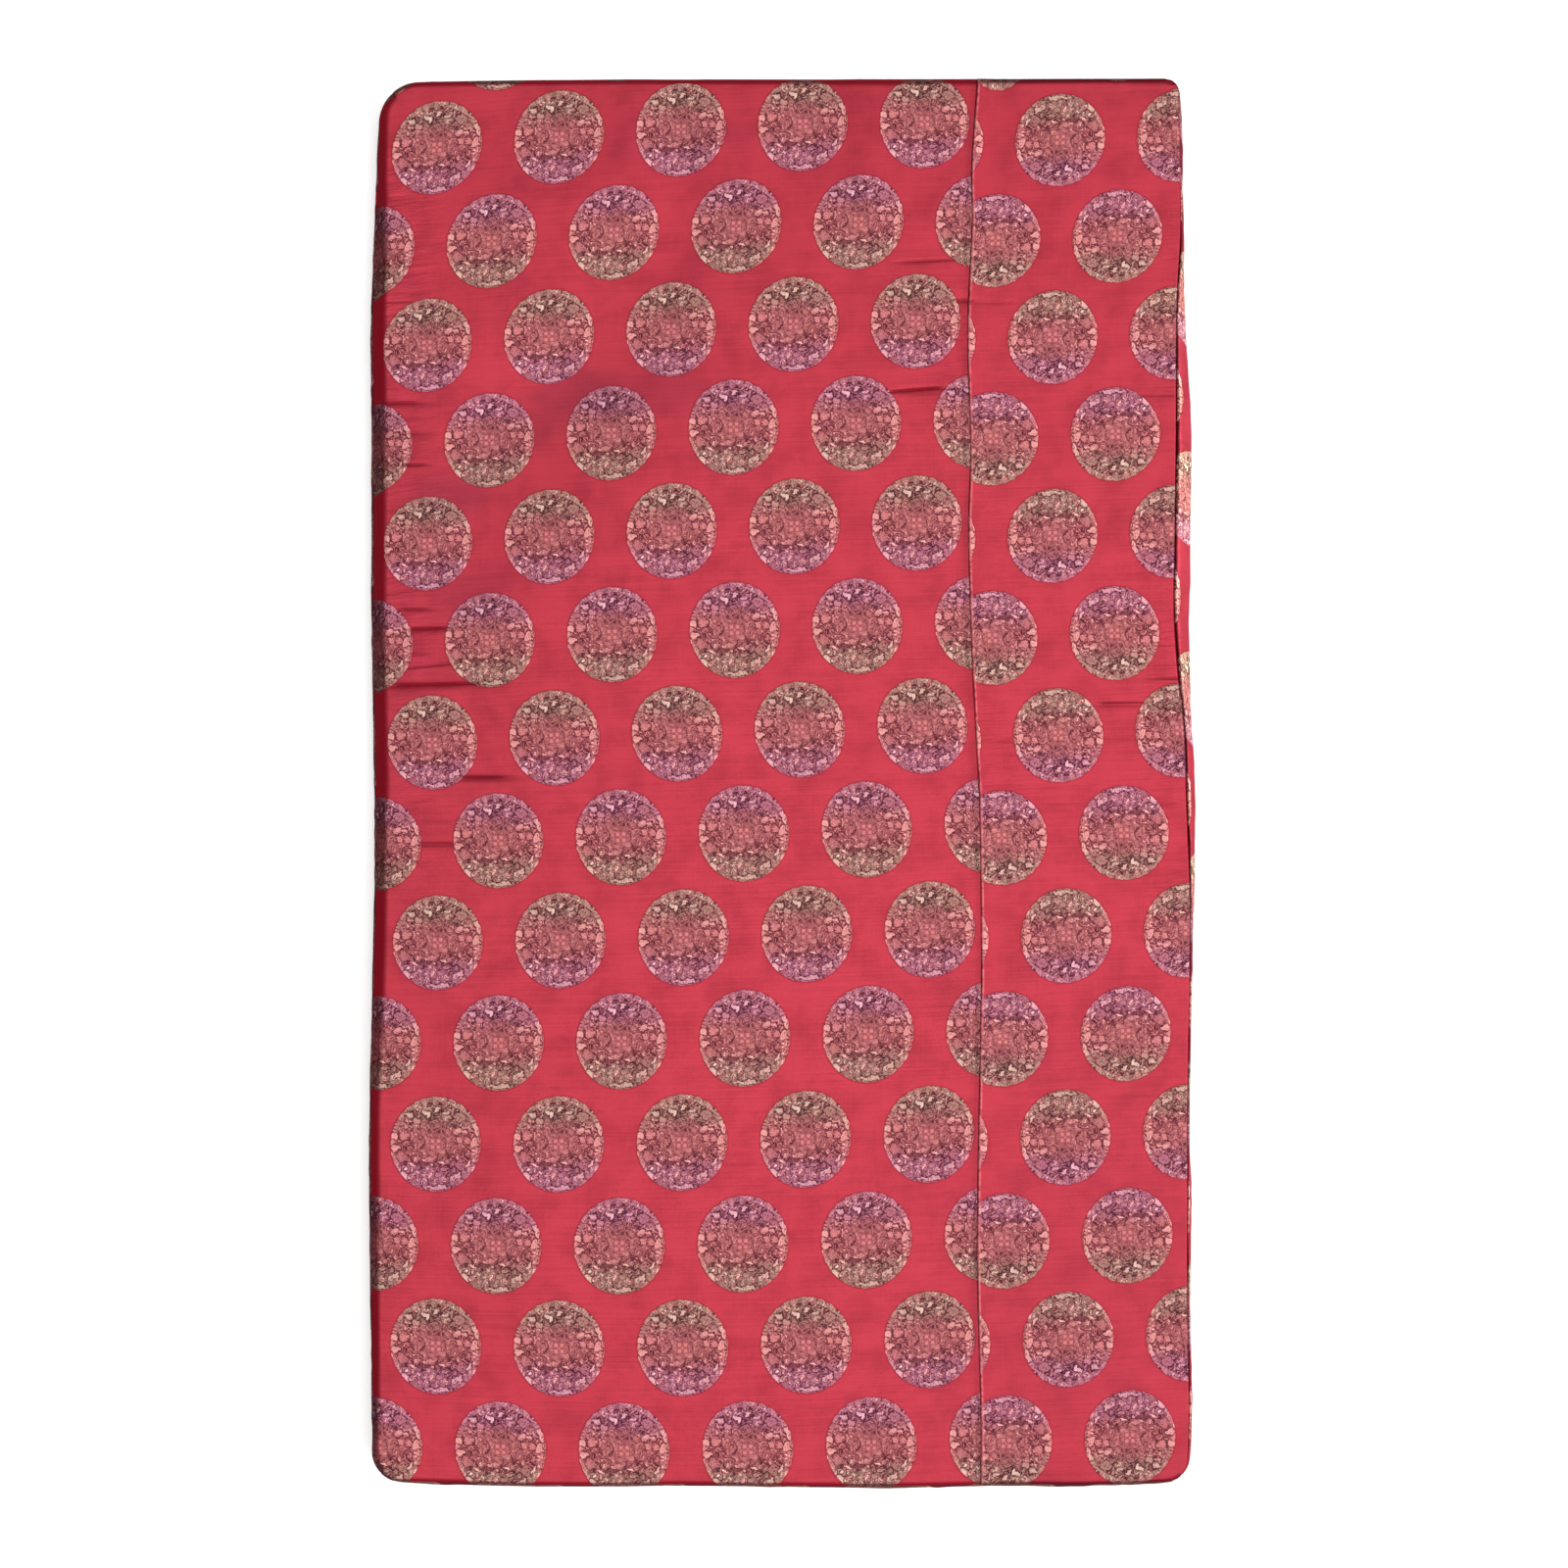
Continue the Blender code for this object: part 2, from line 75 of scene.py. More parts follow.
rightSide = [
    (-0.450, 0.2550, 0.2590, 0.2550, 0.0035),
    (-0.400, 0.2570, 0.2608, 0.2565, 0.0035),
    (-0.335, 0.2563, 0.2602, 0.2563, 0.0035),
    (-0.270, 0.2565, 0.2612, 0.2568, 0.0035),
    (-0.210, 0.2569, 0.2606, 0.2568, 0.0035),
    (-0.085, 0.2592, 0.2644, 0.2590, 0.0035),
    (-0.020, 0.2574, 0.2655, 0.2590, 0.0035),
    (0.030, 0.2558, 0.2637, 0.2580, 0.0035),
    (0.060, 0.2527, 0.2628, 0.2570, 0.0035),
    (0.105, 0.2498, 0.2622, 0.2565, 0.0035),
    (0.160, 0.2506, 0.2638, 0.2572, 0.0035),
    (0.225, 0.2518, 0.2647, 0.2575, 0.0035),
    (0.300, 0.2524, 0.2614, 0.2562, 0.0035),
    (0.350, 0.2552, 0.2602, 0.2562, 0.0035),
    (0.450, 0.2545, 0.2580, 0.2550, 0.0035),
]
headSide = [
    (-0.262, 0.4450, 0.4488, 0.4450, 0.0045),
    (-0.200, 0.4466, 0.4500, 0.4462, 0.0045),
    (-0.100, 0.4476, 0.4508, 0.4468, 0.0045),
    (0.060, 0.4478, 0.4509, 0.4468, 0.0045),
    (0.180, 0.4482, 0.4510, 0.4468, 0.0045),
    (0.262, 0.4475, 0.4505, 0.4462, 0.0045),
]
footSide = [
    (-0.262, 0.4415, 0.4470, 0.4430, 0.0032),
    (-0.210, 0.4430, 0.4490, 0.4442, 0.0032),
    (-0.140, 0.4445, 0.4502, 0.4450, 0.0032),
    (-0.060, 0.4440, 0.4498, 0.4450, 0.0032),
    (0.060, 0.4452, 0.4510, 0.4455, 0.0032),
    (0.140, 0.4440, 0.4498, 0.4450, 0.0032),
    (0.190, 0.4442, 0.4500, 0.4450, 0.0032),
    (0.262, 0.4420, 0.4470, 0.4430, 0.0032),
]

# The lengthwise seam wanders from side to side: place along, place across.
longSeam = [
    (-0.450, 0.1250), (-0.410, 0.1253), (-0.300, 0.1230), (-0.164, 0.1252), (-0.115, 0.1260),
    (-0.016, 0.1250), (0.020, 0.1232), (0.083, 0.1202), (0.158, 0.1185), (0.208, 0.1199),
    (0.283, 0.1182), (0.358, 0.1215), (0.383, 0.1209), (0.450, 0.1254),
]

corners = [(-1, 1, 0.024), (1, 1, 0.009), (-1, -1, 0.016), (1, -1, 0.013)]  # side, end, radius


def columnsOf(rows, names):
    return dict(zip(names, np.array(rows, float).T))


sides = {
    "left": columnsOf(leftSide, sideColumns),
    "right": columnsOf(rightSide, sideColumns),
    "head": columnsOf(headSide, sideColumns),
    "foot": columnsOf(footSide, sideColumns),
}
seamLine = columnsOf(longSeam, ("along", "across"))

# The face's cloth turns down over the edges in a steep strip. For each side: how far its seam goes
# towards the fullest line, how much deeper it falls than a plain roll, and its width at places.
wrap = {
    "left": {
        "out": 0.45, "deeper": 1.25,
        "places": [-0.420, -0.376, -0.289, -0.208, -0.159, -0.066, -0.004,
                   0.182, 0.250, 0.331, 0.368, 0.393, 0.410],
        "widths": [0.0046, 0.0052, 0.0062, 0.0060, 0.0078, 0.0083, 0.0093,
                   0.0094, 0.0099, 0.0100, 0.0078, 0.0066, 0.0062],
    },
    "right": {"out": 0.0, "deeper": 1.0, "places": [0.0], "widths": [0.0013]},
    "head": {
        "out": 0.35, "deeper": 1.5,
        "places": [-0.24, 0.0, 0.08, 0.20],
        "widths": [0.0046, 0.0050, 0.0058, 0.0042],
    },
    "foot": {"out": 0.15, "deeper": 1.4, "places": [0.0], "widths": [0.0024]},
}
for name, strip in wrap.items():
    table = sides[name]
    table["seam"] = table["seam"] + strip["out"] * (table["fullest"] - table["seam"])
    table["roll"] = table["roll"] * strip["deeper"]
# two strips fall by the same amount at the corner where they meet
for side, sideRow, end, endRow in (("left", 0, "foot", 0), ("left", -1, "head", 0),
                                   ("right", 0, "foot", -1), ("right", -1, "head", -1)):
    shared = min(sides[side]["roll"][sideRow], sides[end]["roll"][endRow])
    sides[side]["roll"][sideRow] = sides[end]["roll"][endRow] = shared


def smoothLine(table, column, at):
    # A smooth curve through one column of a table.
    places, values = table["along"], table[column]
    at = np.clip(at, places[0], places[-1])
    end = np.clip(np.searchsorted(places, at), 1, len(places) - 1)
    start = end - 1
    before, after = np.maximum(start - 1, 0), np.minimum(end + 1, len(places) - 1)
    span = places[end] - places[start]
    leaving = (values[end] - values[before]) / (places[end] - places[before]) * span
    arriving = (values[after] - values[start]) / (places[after] - places[start]) * span
    share = (at - places[start]) / span
    ease = share * share * (3 - 2 * share)
    bend = share * (1 - share) ** 2 * leaving + share ** 2 * (share - 1) * arriving
    return values[start] + (values[end] - values[start]) * ease + bend


def easeIn(value, start, width):
    share = np.clip((value - start) / width, 0, 1)
    return share * share * (3 - 2 * share)


unevenKnots = {"across": 64, "along": 1024, "middleAcross": 31.3, "middleAlong": 511.7}


def unevenness(across, along, stepAcross, stepAlong, seed):
    # Smooth unevenness from -1 to 1, the same on every run, with lumps of about these sizes.
    most = (unevenKnots["across"], unevenKnots["along"])
    knots = np.random.default_rng(seed).uniform(-1, 1, most)
    column = across / stepAcross + unevenKnots["middleAcross"]
    row = along / stepAlong + unevenKnots["middleAlong"]
    left, low = np.floor(column).astype(int), np.floor(row).astype(int)
    shareX, shareY = column - left, row - low
    shareX, shareY = shareX ** 2 * (3 - 2 * shareX), shareY ** 2 * (3 - 2 * shareY)
    left, low = left % (most[0] - 1), low % (most[1] - 1)
    lower = knots[left, low] * (1 - shareX) + knots[left + 1, low] * shareX
    upper = knots[left, low + 1] * (1 - shareX) + knots[left + 1, low + 1] * shareX
    return lower * (1 - shareY) + upper * shareY


# Creases across the face: place along, start and end across, depth, half width, and how much each
# climbs towards the right. The wide ones are the main folds, and the narrow ones pinch inside them.
creases = [
    (0.2390, -0.256, -0.230, 0.0007, 0.0052, 0.00),
    (0.2197, -0.256, -0.230, 0.0006, 0.0052, 0.00),
    (0.0950, -0.240, -0.211, 0.0007, 0.0055, 0.03),
    (0.0595, -0.248, -0.188, 0.0009, 0.0055, 0.02),
    (0.0005, -0.206, -0.176, 0.0008, 0.0055, 0.00),
    (-0.0416, -0.234, -0.204, 0.0006, 0.0055, 0.00),
    (0.3036, 0.098, 0.119, 0.0005, 0.0055, 0.05),
    (0.2470, 0.084, 0.114, 0.0006, 0.0052, 0.08),
    (0.0471, 0.200, 0.236, 0.0004, 0.0055, 0.00),
    (-0.0144, 0.214, 0.248, 0.0005, 0.0055, 0.00),
]
creaseEase = 0.012
pinches = [
    (0.2390, -0.256, -0.234, 0.0008, 0.0015, 0.00),
    (0.2197, -0.256, -0.238, 0.0007, 0.0015, 0.00),
    (0.1990, -0.254, -0.228, 0.0008, 0.0016, 0.02),
    (0.1290, -0.198, -0.184, 0.0005, 0.0016, 0.00),
    (0.1074, -0.242, -0.226, 0.0008, 0.0016, 0.00),
    (0.0950, -0.236, -0.214, 0.0011, 0.0015, 0.03),
    (0.0790, -0.236, -0.230, 0.0007, 0.0015, 0.00),
    (0.0713, -0.240, -0.210, 0.0007, 0.0015, 0.10),
    (0.0595, -0.243, -0.196, 0.0011, 0.0015, 0.02),
    (0.0005, -0.202, -0.180, 0.0012, 0.0015, 0.00),
    (-0.0130, -0.252, -0.226, 0.0005, 0.0016, 0.00),
    (-0.0261, -0.228, -0.210, 0.0006, 0.0016, 0.00),
    (-0.0416, -0.229, -0.209, 0.0008, 0.0016, 0.00),
    (0.3294, 0.078, 0.108, 0.0007, 0.0016, 0.05),
    (0.3036, 0.102, 0.118, 0.0007, 0.0016, 0.05),
    (0.2466, 0.072, 0.099, 0.0013, 0.0014, 0.08),
    (0.3030, 0.127, 0.140, 0.0006, 0.0016, 0.03),
    (0.2440, 0.229, 0.247, 0.0005, 0.0016, 0.00),
    (0.0846, 0.238, 0.250, 0.0005, 0.0016, 0.00),
    (0.0634, 0.239, 0.250, 0.0006, 0.0015, 0.00),
    (0.0471, 0.204, 0.232, 0.0010, 0.0015, 0.00),
    (0.0255, 0.135, 0.248, 0.0005, 0.0018, 0.01),
    (-0.0150, 0.166, 0.192, 0.0005, 0.0018, 0.00),
    (-0.0150, 0.216, 0.244, 0.0006, 0.0016, 0.00),
    (-0.0484, 0.228, 0.246, 0.0005, 0.0016, 0.00),
    (-0.2661, 0.243, 0.252, 0.0006, 0.0015, 0.00),
]
pinchEase = 0.006

# Soft hollows and swells: middle across and along, half length, half width, turn, depth.
patches = [
    (-0.140, 0.240, 0.150, 0.042, 56, 0.0026),
    (-0.205, 0.020, 0.070, 0.035, 70, 0.0012),
    (-0.066, 0.395, 0.060, 0.012, 90, 0.0012),
    (0.030, 0.405, 0.050, 0.012, 90, 0.0009),
    (-0.098, 0.405, 0.050, 0.014, 90, -0.0010),
    (0.052, 0.405, 0.050, 0.014, 90, -0.0010),
    (0.137, -0.105, 0.060, 0.008, 90, 0.0009),
    (0.168, -0.180, 0.018, 0.014, 0, 0.0010),
]

# Fine puckers: which margin, from and to along, height, how far in they fade, wave length, seed.
puckers = [
    ("left", 0.285, 0.400, 0.00058, 0.036, 0.0070, 11),
    ("left", -0.075, 0.290, 0.00042, 0.040, 0.0085, 12),
    ("left", -0.440, -0.080, 0.00014, 0.026, 0.0090, 13),
    ("middleLeft", 0.200, 0.345, 0.00014, 0.036, 0.0080, 14),
    ("middleLeft", -0.200, 0.195, 0.00010, 0.026, 0.0090, 15),
    ("middleRight", 0.120, 0.330, 0.00012, 0.026, 0.0080, 16),
    ("middleRight", -0.060, 0.060, 0.00030, 0.040, 0.0075, 17),
    ("right", -0.090, 0.110, 0.00036, 0.024, 0.0070, 18),
    ("right", 0.115, 0.400, 0.00014, 0.022, 0.0080, 19),
    ("right", -0.440, -0.100, 0.00012, 0.020, 0.0080, 20),
]
puckerForm = {
    "full": 0.0006,          # a margin with puckers this high is puckered all over
    "fade": 0.04,            # how far along a row of them comes and goes
    "lumpLength": 0.040,
    "lumpSlant": 0.06,
    "lumpShare": 0.8,
    "valleyLength": 0.034,   # sharp little valleys between the lumps
    "valleySlant": 0.05,
    "valleyWave": 1.3,
    "valleyShare": 0.9,
    "valleyPower": 5,
    "valleySeed": 40,
}

# Soft unevenness over the whole face: height, size across and along, seed.
faceLumps = [(0.00035, 0.050, 0.045, 3), (0.00016, 0.060, 0.014, 4)]

seam = {
    "channelDepth": 0.0005,
    "wideSide": 0.0060,
    "narrowSide": 0.0010,
    "fold": (0.0009, 0.0026, 0.0050),     # height, place and width of the soft fold
    "ridge": (0.0004, 0.0010, 0.0007),    # and of the folded edge that stands up beside the seam
    "foldLight": 0.0006,        # width of the painted highlight along the folded edge
    "wideEdgeRoll": 0.00015,    # the very edges turn down into the seam
    "narrowEdgeRoll": 0.00015,
    "trim": 0.0001,
    "steepest": 0.42,
    "closedDepth": 0.0014,      # a crease this deep gets the full painted shade
}


def edgesAt(across, along):
    return {
        "left": -smoothLine(sides["left"], "seam", along),
        "right": smoothLine(sides["right"], "seam", along),
        "foot": -smoothLine(sides["foot"], "seam", across),
        "head": smoothLine(sides["head"], "seam", across),
        "middle": smoothLine(seamLine, "across", along),
    }


def rollDrop(distance, radius):
    # How far a quarter round has fallen at a distance in from its outer edge.
    inward = np.maximum(radius - distance, 0)
    return radius - np.sqrt(np.maximum(radius ** 2 - inward ** 2, 0))


def stripWidth(name, place):
    return np.interp(place, wrap[name]["places"], wrap[name]["widths"])


def edgeDrop(across, along, edges, radius=None):
    gaps = {
        "left": (across - edges["left"], along),
        "right": (edges["right"] - across, along),
        "foot": (along - edges["foot"], across),
        "head": (edges["head"] - along, across),
    }
    total = 0
    for name, (gap, place) in gaps.items():
        if radius is None:
            share = np.clip(1 - gap / stripWidth(name, place), 0, 1)
            fall = smoothLine(sides[name], "roll", place) * share ** cushion["shoulder"]
        else:
            fall = np.maximum(rollDrop(gap, radius), 0)
        total = total + fall ** cushion["rollBlend"]
    return total ** (1 / cushion["rollBlend"])


def crownRise(across, along):
    sideways = np.minimum(np.abs(across) / (cushion["width"] / 2), 1)
    lengthways = np.minimum(np.abs(along) / (cushion["length"] / 2), 1)
    return (cushion["crown"] * (1 - sideways ** cushion["crownPowerAcross"])
            * (1 - lengthways ** cushion["crownPowerAlong"]))


def troughs(rows, ease, across, along):
    total = 0
    for place, start, end, depth, halfWidth, climb in rows:
        line = place + climb * (across - (start + end) / 2)
        offset = 2 * (along - line) / halfWidth
        fade = easeIn(across, start - ease, ease) * (1 - easeIn(across, end, ease))
        total = total + depth * fade * np.exp(-offset ** 2)
    return total


def ovalPlace(across, along, oval):
    # Where each place is in a turned oval, 1 on its edge along and across it.
    middleX, middleY, halfLength, halfWidth, turn = oval
    turn = math.radians(turn)
    sideways, lengthways = across - middleX, along - middleY
    return ((sideways * math.cos(turn) + lengthways * math.sin(turn)) / halfLength,
            (lengthways * math.cos(turn) - sideways * math.sin(turn)) / halfWidth)


def hollows(across, along):
    total = 0
    for *oval, depth in patches:
        main, cross = ovalPlace(across, along, oval)
        total = total + depth * np.exp(-main ** 2 - cross ** 2)
    return total


def puckerRows(across, along, edges):
    # Each pucker row with how strongly it shows at each place.
    gaps = {
        "left": across - edges["left"],
        "right": edges["right"] - across,
        "middleLeft": edges["middle"] - across,
        "middleRight": across - edges["middle"],
    }
    fade = puckerForm["fade"]
    for margin, low, high, height, reach, wave, seed in puckers:
        gap = gaps[margin]
        here = np.where(gap >= -1e-6, np.exp(-(gap / reach) ** 2), 0)
        here = here * easeIn(along, low - fade / 2, fade)
        here = here * (1 - easeIn(along, high - fade / 2, fade))
        yield height, here, wave, seed


def margins(across, along, edges):
    # How finely puckered each place is, about 1 where it is so all over.
    return sum(here * height / puckerForm["full"]
               for height, here, *_ in puckerRows(across, along, edges))


def puckering(across, along, edges):
    form, total = puckerForm, 0
    for height, here, wave, seed in puckerRows(across, along, edges):
        lumps = unevenness(across, along + form["lumpSlant"] * across, form["lumpLength"],
                           wave, seed)
        valleys = unevenness(across, along - form["valleySlant"] * across, form["valleyLength"],
                             wave * form["valleyWave"], seed + form["valleySeed"])
        valleys = (1 - np.abs(valleys)) ** form["valleyPower"]
        total = total + height * here * (form["lumpShare"] * lumps - form["valleyShare"] * valleys)
    return total


def seamShape(across, middle):
    # The wide panel dips into the seam, and the narrow panel's fold stands up beside it.
    offset = across - middle
    onWide = offset <= 0
    width = np.where(onWide, seam["wideSide"], seam["narrowSide"])
    channel = seam["channelDepth"] * np.exp(-(offset / width) ** 2)
    fold = 0
    for lift, place, half in (seam["fold"], seam["ridge"]):
        fold = fold + lift * np.exp(-((offset - place) / half) ** 2)
    turned = np.where(onWide, rollDrop(-offset, seam["wideEdgeRoll"]),
                      rollDrop(offset, seam["narrowEdgeRoll"]))
    return np.where(onWide, 0, fold) - channel - turned


def roundCorners(across, along, edges):
    for side, end, radius in corners:
        sideEdge = edges["right"] if side > 0 else edges["left"]
        endEdge = edges["head"] if end > 0 else edges["foot"]
        outward = radius - np.abs(sideEdge - across)
        onward = radius - np.abs(endEdge - along)
        inside = (outward > 0) & (onward > 0)
        far = np.maximum(np.hypot(outward, onward), 1e-9)
        scale = np.where(inside, np.maximum(outward, onward) / far, 1)
        across = across + side * outward * (scale - 1)
        along = along + end * onward * (scale - 1)
    return across, along


def planPlaces(share, run, line="seam"):
    # share goes from the left side to the right one, and run from the foot to the head.
    nominal = (2 * run - 1) * cushion["halfLength"]
    left = -smoothLine(sides["left"], line, nominal)
    right = smoothLine(sides["right"], line, nominal)
    middle = smoothLine(seamLine, "across", nominal)
    across = np.where(share <= 1, left + share * (middle - left),
                      middle + (share - 1) * (right - middle))
    foot = -smoothLine(sides["foot"], line, across)
    head = smoothLine(sides["head"], line, across)
    return across, foot + run * (head - foot)


def facePoints(share, run):
    across, along = planPlaces(share, run)
    edges = edgesAt(across, along)
    height = cushion["faceHeight"] + crownRise(across, along) - edgeDrop(across, along, edges)
    height = height + seamShape(across, edges["middle"])
    height = height - troughs(creases, creaseEase, across, along)
    height = height - troughs(pinches, pinchEase, across, along)
    height = height - hollows(across, along) + puckering(across, along, edges)
    for lift, sizeAcross, sizeAlong, seed in faceLumps:
        height = height + lift * unevenness(across, along, sizeAcross, sizeAlong, seed)
    across, along = roundCorners(across, along, edges)
    return np.stack([across, along, height], axis=1)


back = {
    "hollow": 0.0004,        # how far its middle stands off the floor
    "flatEdge": 0.005,
    "flatWidth": 0.08,
    "lumps": [(0.0003, 0.070, 0.060, 5), (0.0002, 0.050, 0.011, 6)],
    "rollDepth": 0.0045,
    "rollLines": 5,
    "acrossStep": 0.0075,
    "alongStep": 0.0050,
    "clothAcross": -0.012,   # where a roundel's middle falls
    "clothAlong": 0.398,
}


def backPoints(share, run):
    # The back rolls in from the lower seam and lies on the floor, a little hollow in the middle.
    across, along = planPlaces(share, run, "lower")
    edges = edgesAt(across, along)
    for name, place in (("left", along), ("right", along), ("foot", across), ("head", across)):
        sign = -1 if name in ("left", "foot") else 1
        edges[name] = sign * smoothLine(sides[name], "lower", place)
    rise = edgeDrop(across, along, edges, cushion["lowerSeam"])
    inner = 1
    for gap in (np.minimum(across - edges["left"], edges["right"] - across),
                np.minimum(along - edges["foot"], edges["head"] - along)):
        inner = inner * easeIn(gap, back["flatEdge"], back["flatWidth"])
    hollow = back["hollow"]
    for lift, sizeAcross, sizeAlong, seed in back["lumps"]:
        hollow = hollow + lift * unevenness(across, along, sizeAcross, sizeAlong, seed)
    across, along = roundCorners(across, along, edges)
    return np.stack([across, along, rise + inner * np.maximum(hollow, 0)], axis=1)


# Lines on the cloth, in metres in from the left seam, the lengthwise seam or an end.
grids = {
    "wideWidth": 0.379,
    "narrowWidth": 0.130,
    "firstTurn": 0.03,              # share of a rolled edge's quarter turn before its first line
    "leftRoll": (0.0115, 11),       # depth and number of the close lines that roll over an edge
    "rightRoll": (0.0030, 7),
    "endRoll": (0.0060, 8),
    "fineStep": 0.0052,
    "wideStep": 0.0130,
    "finePlaces": (0.065, 0.300),   # the wide panel has wide steps between these
    "wideRest": 0.0100,             # even steps end this far from the seam, or from the right edge
    "narrowRest": 0.0045,
    "narrowStep": 0.0050,
    "alongStep": 0.0016,
    "seamEdge": [0.0, 0.0002, 0.0005, 0.0009, 0.0013, 0.0017, 0.0024, 0.0035, 0.0050, 0.0070],
    "sharpDepth": 0.0007,           # pinches from this depth on get closer lines
    "sharpStep": 0.00042,
    "sharpReach": 0.0020,
    "sharpGap": 0.0004,
    "sharpShift": 0.0010,           # the cloth's lines run this far behind the pinches at the ends
}


def rolledLines(depth, count):
    first = grids["firstTurn"]
    turns = [first + (1 - first) * step / count for step in range(count + 1)]
    return [depth * (1 - math.cos(math.pi / 2 * turn)) for turn in turns]


def evenLines(start, end, step):
    parts = max(1, round((end - start) / step))
    return [start + (end - start) * number / parts for number in range(1, parts + 1)]


def wideLinesOf():
    lines = rolledLines(*grids["leftRoll"])
    ends = (*grids["finePlaces"], grids["wideWidth"] - grids["wideRest"])
    for end, step in zip(ends, (grids["fineStep"], grids["wideStep"], grids["fineStep"])):
        lines += evenLines(lines[-1], end, step)
    return lines + [grids["wideWidth"] - seam["trim"] - gap for gap in reversed(grids["seamEdge"])]


def narrowLinesOf():
    lines = [seam["trim"] + gap for gap in grids["seamEdge"]]
    lines += evenLines(lines[-1], grids["narrowWidth"] - grids["narrowRest"], grids["narrowStep"])
    rolled = rolledLines(*grids["rightRoll"])
    return lines + [grids["narrowWidth"] - gap for gap in reversed(rolled)]


def alongLinesOf():
    lines = endLines + evenLines(endLines[-1], length - endLines[-1], grids["alongStep"])
    lines = lines[:-1] + [length - gap for gap in reversed(endLines)]
    for place, start, end, depth, halfWidth, climb in pinches:
        # more lines where a sharp crease runs
        if depth >= grids["sharpDepth"]:
            reach = grids["sharpReach"] + abs(climb) * (end - start) / 2
            middle = place + cushion["halfLength"]
            middle = middle - grids["sharpShift"] * place / cushion["halfLength"]
            lines = [line for line in lines if abs(line - middle) > reach + grids["sharpGap"]]
            lines += [middle - reach]
            lines += evenLines(middle - reach, middle + reach, grids["sharpStep"])
    return sorted(lines)


length = 2 * cushion["halfLength"]
endLines = rolledLines(*grids["endRoll"])
wideLines, narrowLines, alongLines = wideLinesOf(), narrowLinesOf(), alongLinesOf()
wideShares = np.array(wideLines) / grids["wideWidth"]
narrowShares = 1 + np.array(narrowLines) / grids["narrowWidth"]
runs = np.array(alongLines) / length


# Woven repeat of the satin: roundels stand in rows across the width, each row half a step over.
repeat = {
    "across": 0.0777,
    "along": 0.0636,
    "halfAcross": 0.0285,
    "halfAlong": 0.0298,
    "headEase": 0.4395,     # the cloth is eased in from here on
}
# How the rows lie on each panel: the first one's place, and slant, fan and bow about a middle.
wideRows = {
    "first": 0.4092,
    "middle": -0.06775,
    "slant": 0.0319,
    "fan": 0.0526,
    "bow": 0.01225,
    "halfBow": 0.19,
}
narrowRows = {"first": 0.4079, "middle": 0.187, "slant": 0.0417, "step": 0.0634}
wideDrift = {
    "along": np.array([-0.424, -0.359, -0.294, -0.228, -0.163, -0.099, -0.036, 0.028, 0.093, 0.157,
                       0.220, 0.283, 0.345, 0.410]),
    "across": np.array([-0.2153, -0.2175, -0.2185, -0.2180, -0.2173, -0.2172, -0.2180, -0.2215,
                        -0.2239, -0.2250, -0.2246, -0.2256, -0.2234, -0.2195]),
}
narrowDrift = {
    "along": np.array([-0.417, -0.355, -0.288, -0.225, -0.162, -0.099, -0.036, 0.027, 0.089, 0.153,
                       0.217, 0.280, 0.345, 0.410]),
    "across": np.array([0.1413, 0.1414, 0.1400, 0.1399, 0.1395, 0.1409, 0.1390, 0.1363, 0.1335,
                        0.1330, 0.1345, 0.1335, 0.1363, 0.1391]),
}


def rolledCloth(gap, width, drop):
    # Cloth taken up by the steep strip, past what shows from above.
    return np.maximum(width - gap, 0) * (np.hypot(1, drop / width) - 1)


def endCloth(along):
    # Eased in past the last whole roundels, so that the next row hardly shows at the head.
    return along - 0.5 * np.maximum(along - repeat["headEase"], 0)


def wideCloth(points, share, run):
    x, y = points[:, 0], points[:, 1]
    offset = x - wideRows["middle"]
    bow = 1 - (offset / wideRows["halfBow"]) ** 2
    level = y - wideRows["slant"] * offset - wideRows["fan"] * offset * y
    level = level - wideRows["bow"] * y * bow
    row = (wideRows["first"] - level) / repeat["along"]
    edges = edgesAt(x, y)
    y = endCloth(y)
    drop = smoothLine(sides["left"], "roll", y)
    x = x - rolledCloth(x - edges["left"], stripWidth("left", y), drop)
    column = (x - smoothLine(wideDrift, "across", y)) / repeat["across"]
    return np.stack([column, row], axis=1)


def narrowCloth(points, share, run):
    # This panel is cut the other way up, so its cloth is turned half round.
    x, y = points[:, 0], endCloth(points[:, 1])
    level = y - narrowRows["slant"] * (x - narrowRows["middle"])
    row = (narrowRows["first"] - level) / narrowRows["step"]
    column = (x - smoothLine(narrowDrift, "across", y)) / repeat["across"]
    return np.stack([-column, 1 - row], axis=1)


# Painted shade across the face: darker patches standing in for the shading of its hollows and
# slopes, in metres: place, half sizes, turn, strength
paintedShadeZones = [
    (-0.250, 0.100, 0.050, 0.300, 0, 0.15), (0.190, -0.330, 0.140, 0.260, 0, 0.16),
    (-0.070, 0.246, 0.050, 0.022, 4, 0.35), (-0.128, 0.241, 0.055, 0.022, 8, 0.55),
    (-0.160, 0.222, 0.045, 0.024, 35, 0.45), (-0.188, 0.198, 0.042, 0.022, 40, 0.40),
    (-0.212, 0.181, 0.040, 0.022, 10, 0.55), (-0.206, 0.118, 0.038, 0.022, 15, 0.40),
    (-0.060, 0.407, 0.050, 0.016, 4, 0.35), (0.150, -0.178, 0.034, 0.012, 5, 0.35),
]
paintedShadeBorder = {
    "start": 0.15,
    "width": 1.0,
    "ragged": [(0.25, 0.030, 0.012, 8), (0.15, 0.011, 0.006, 9)],   # by how much, size, seed
}


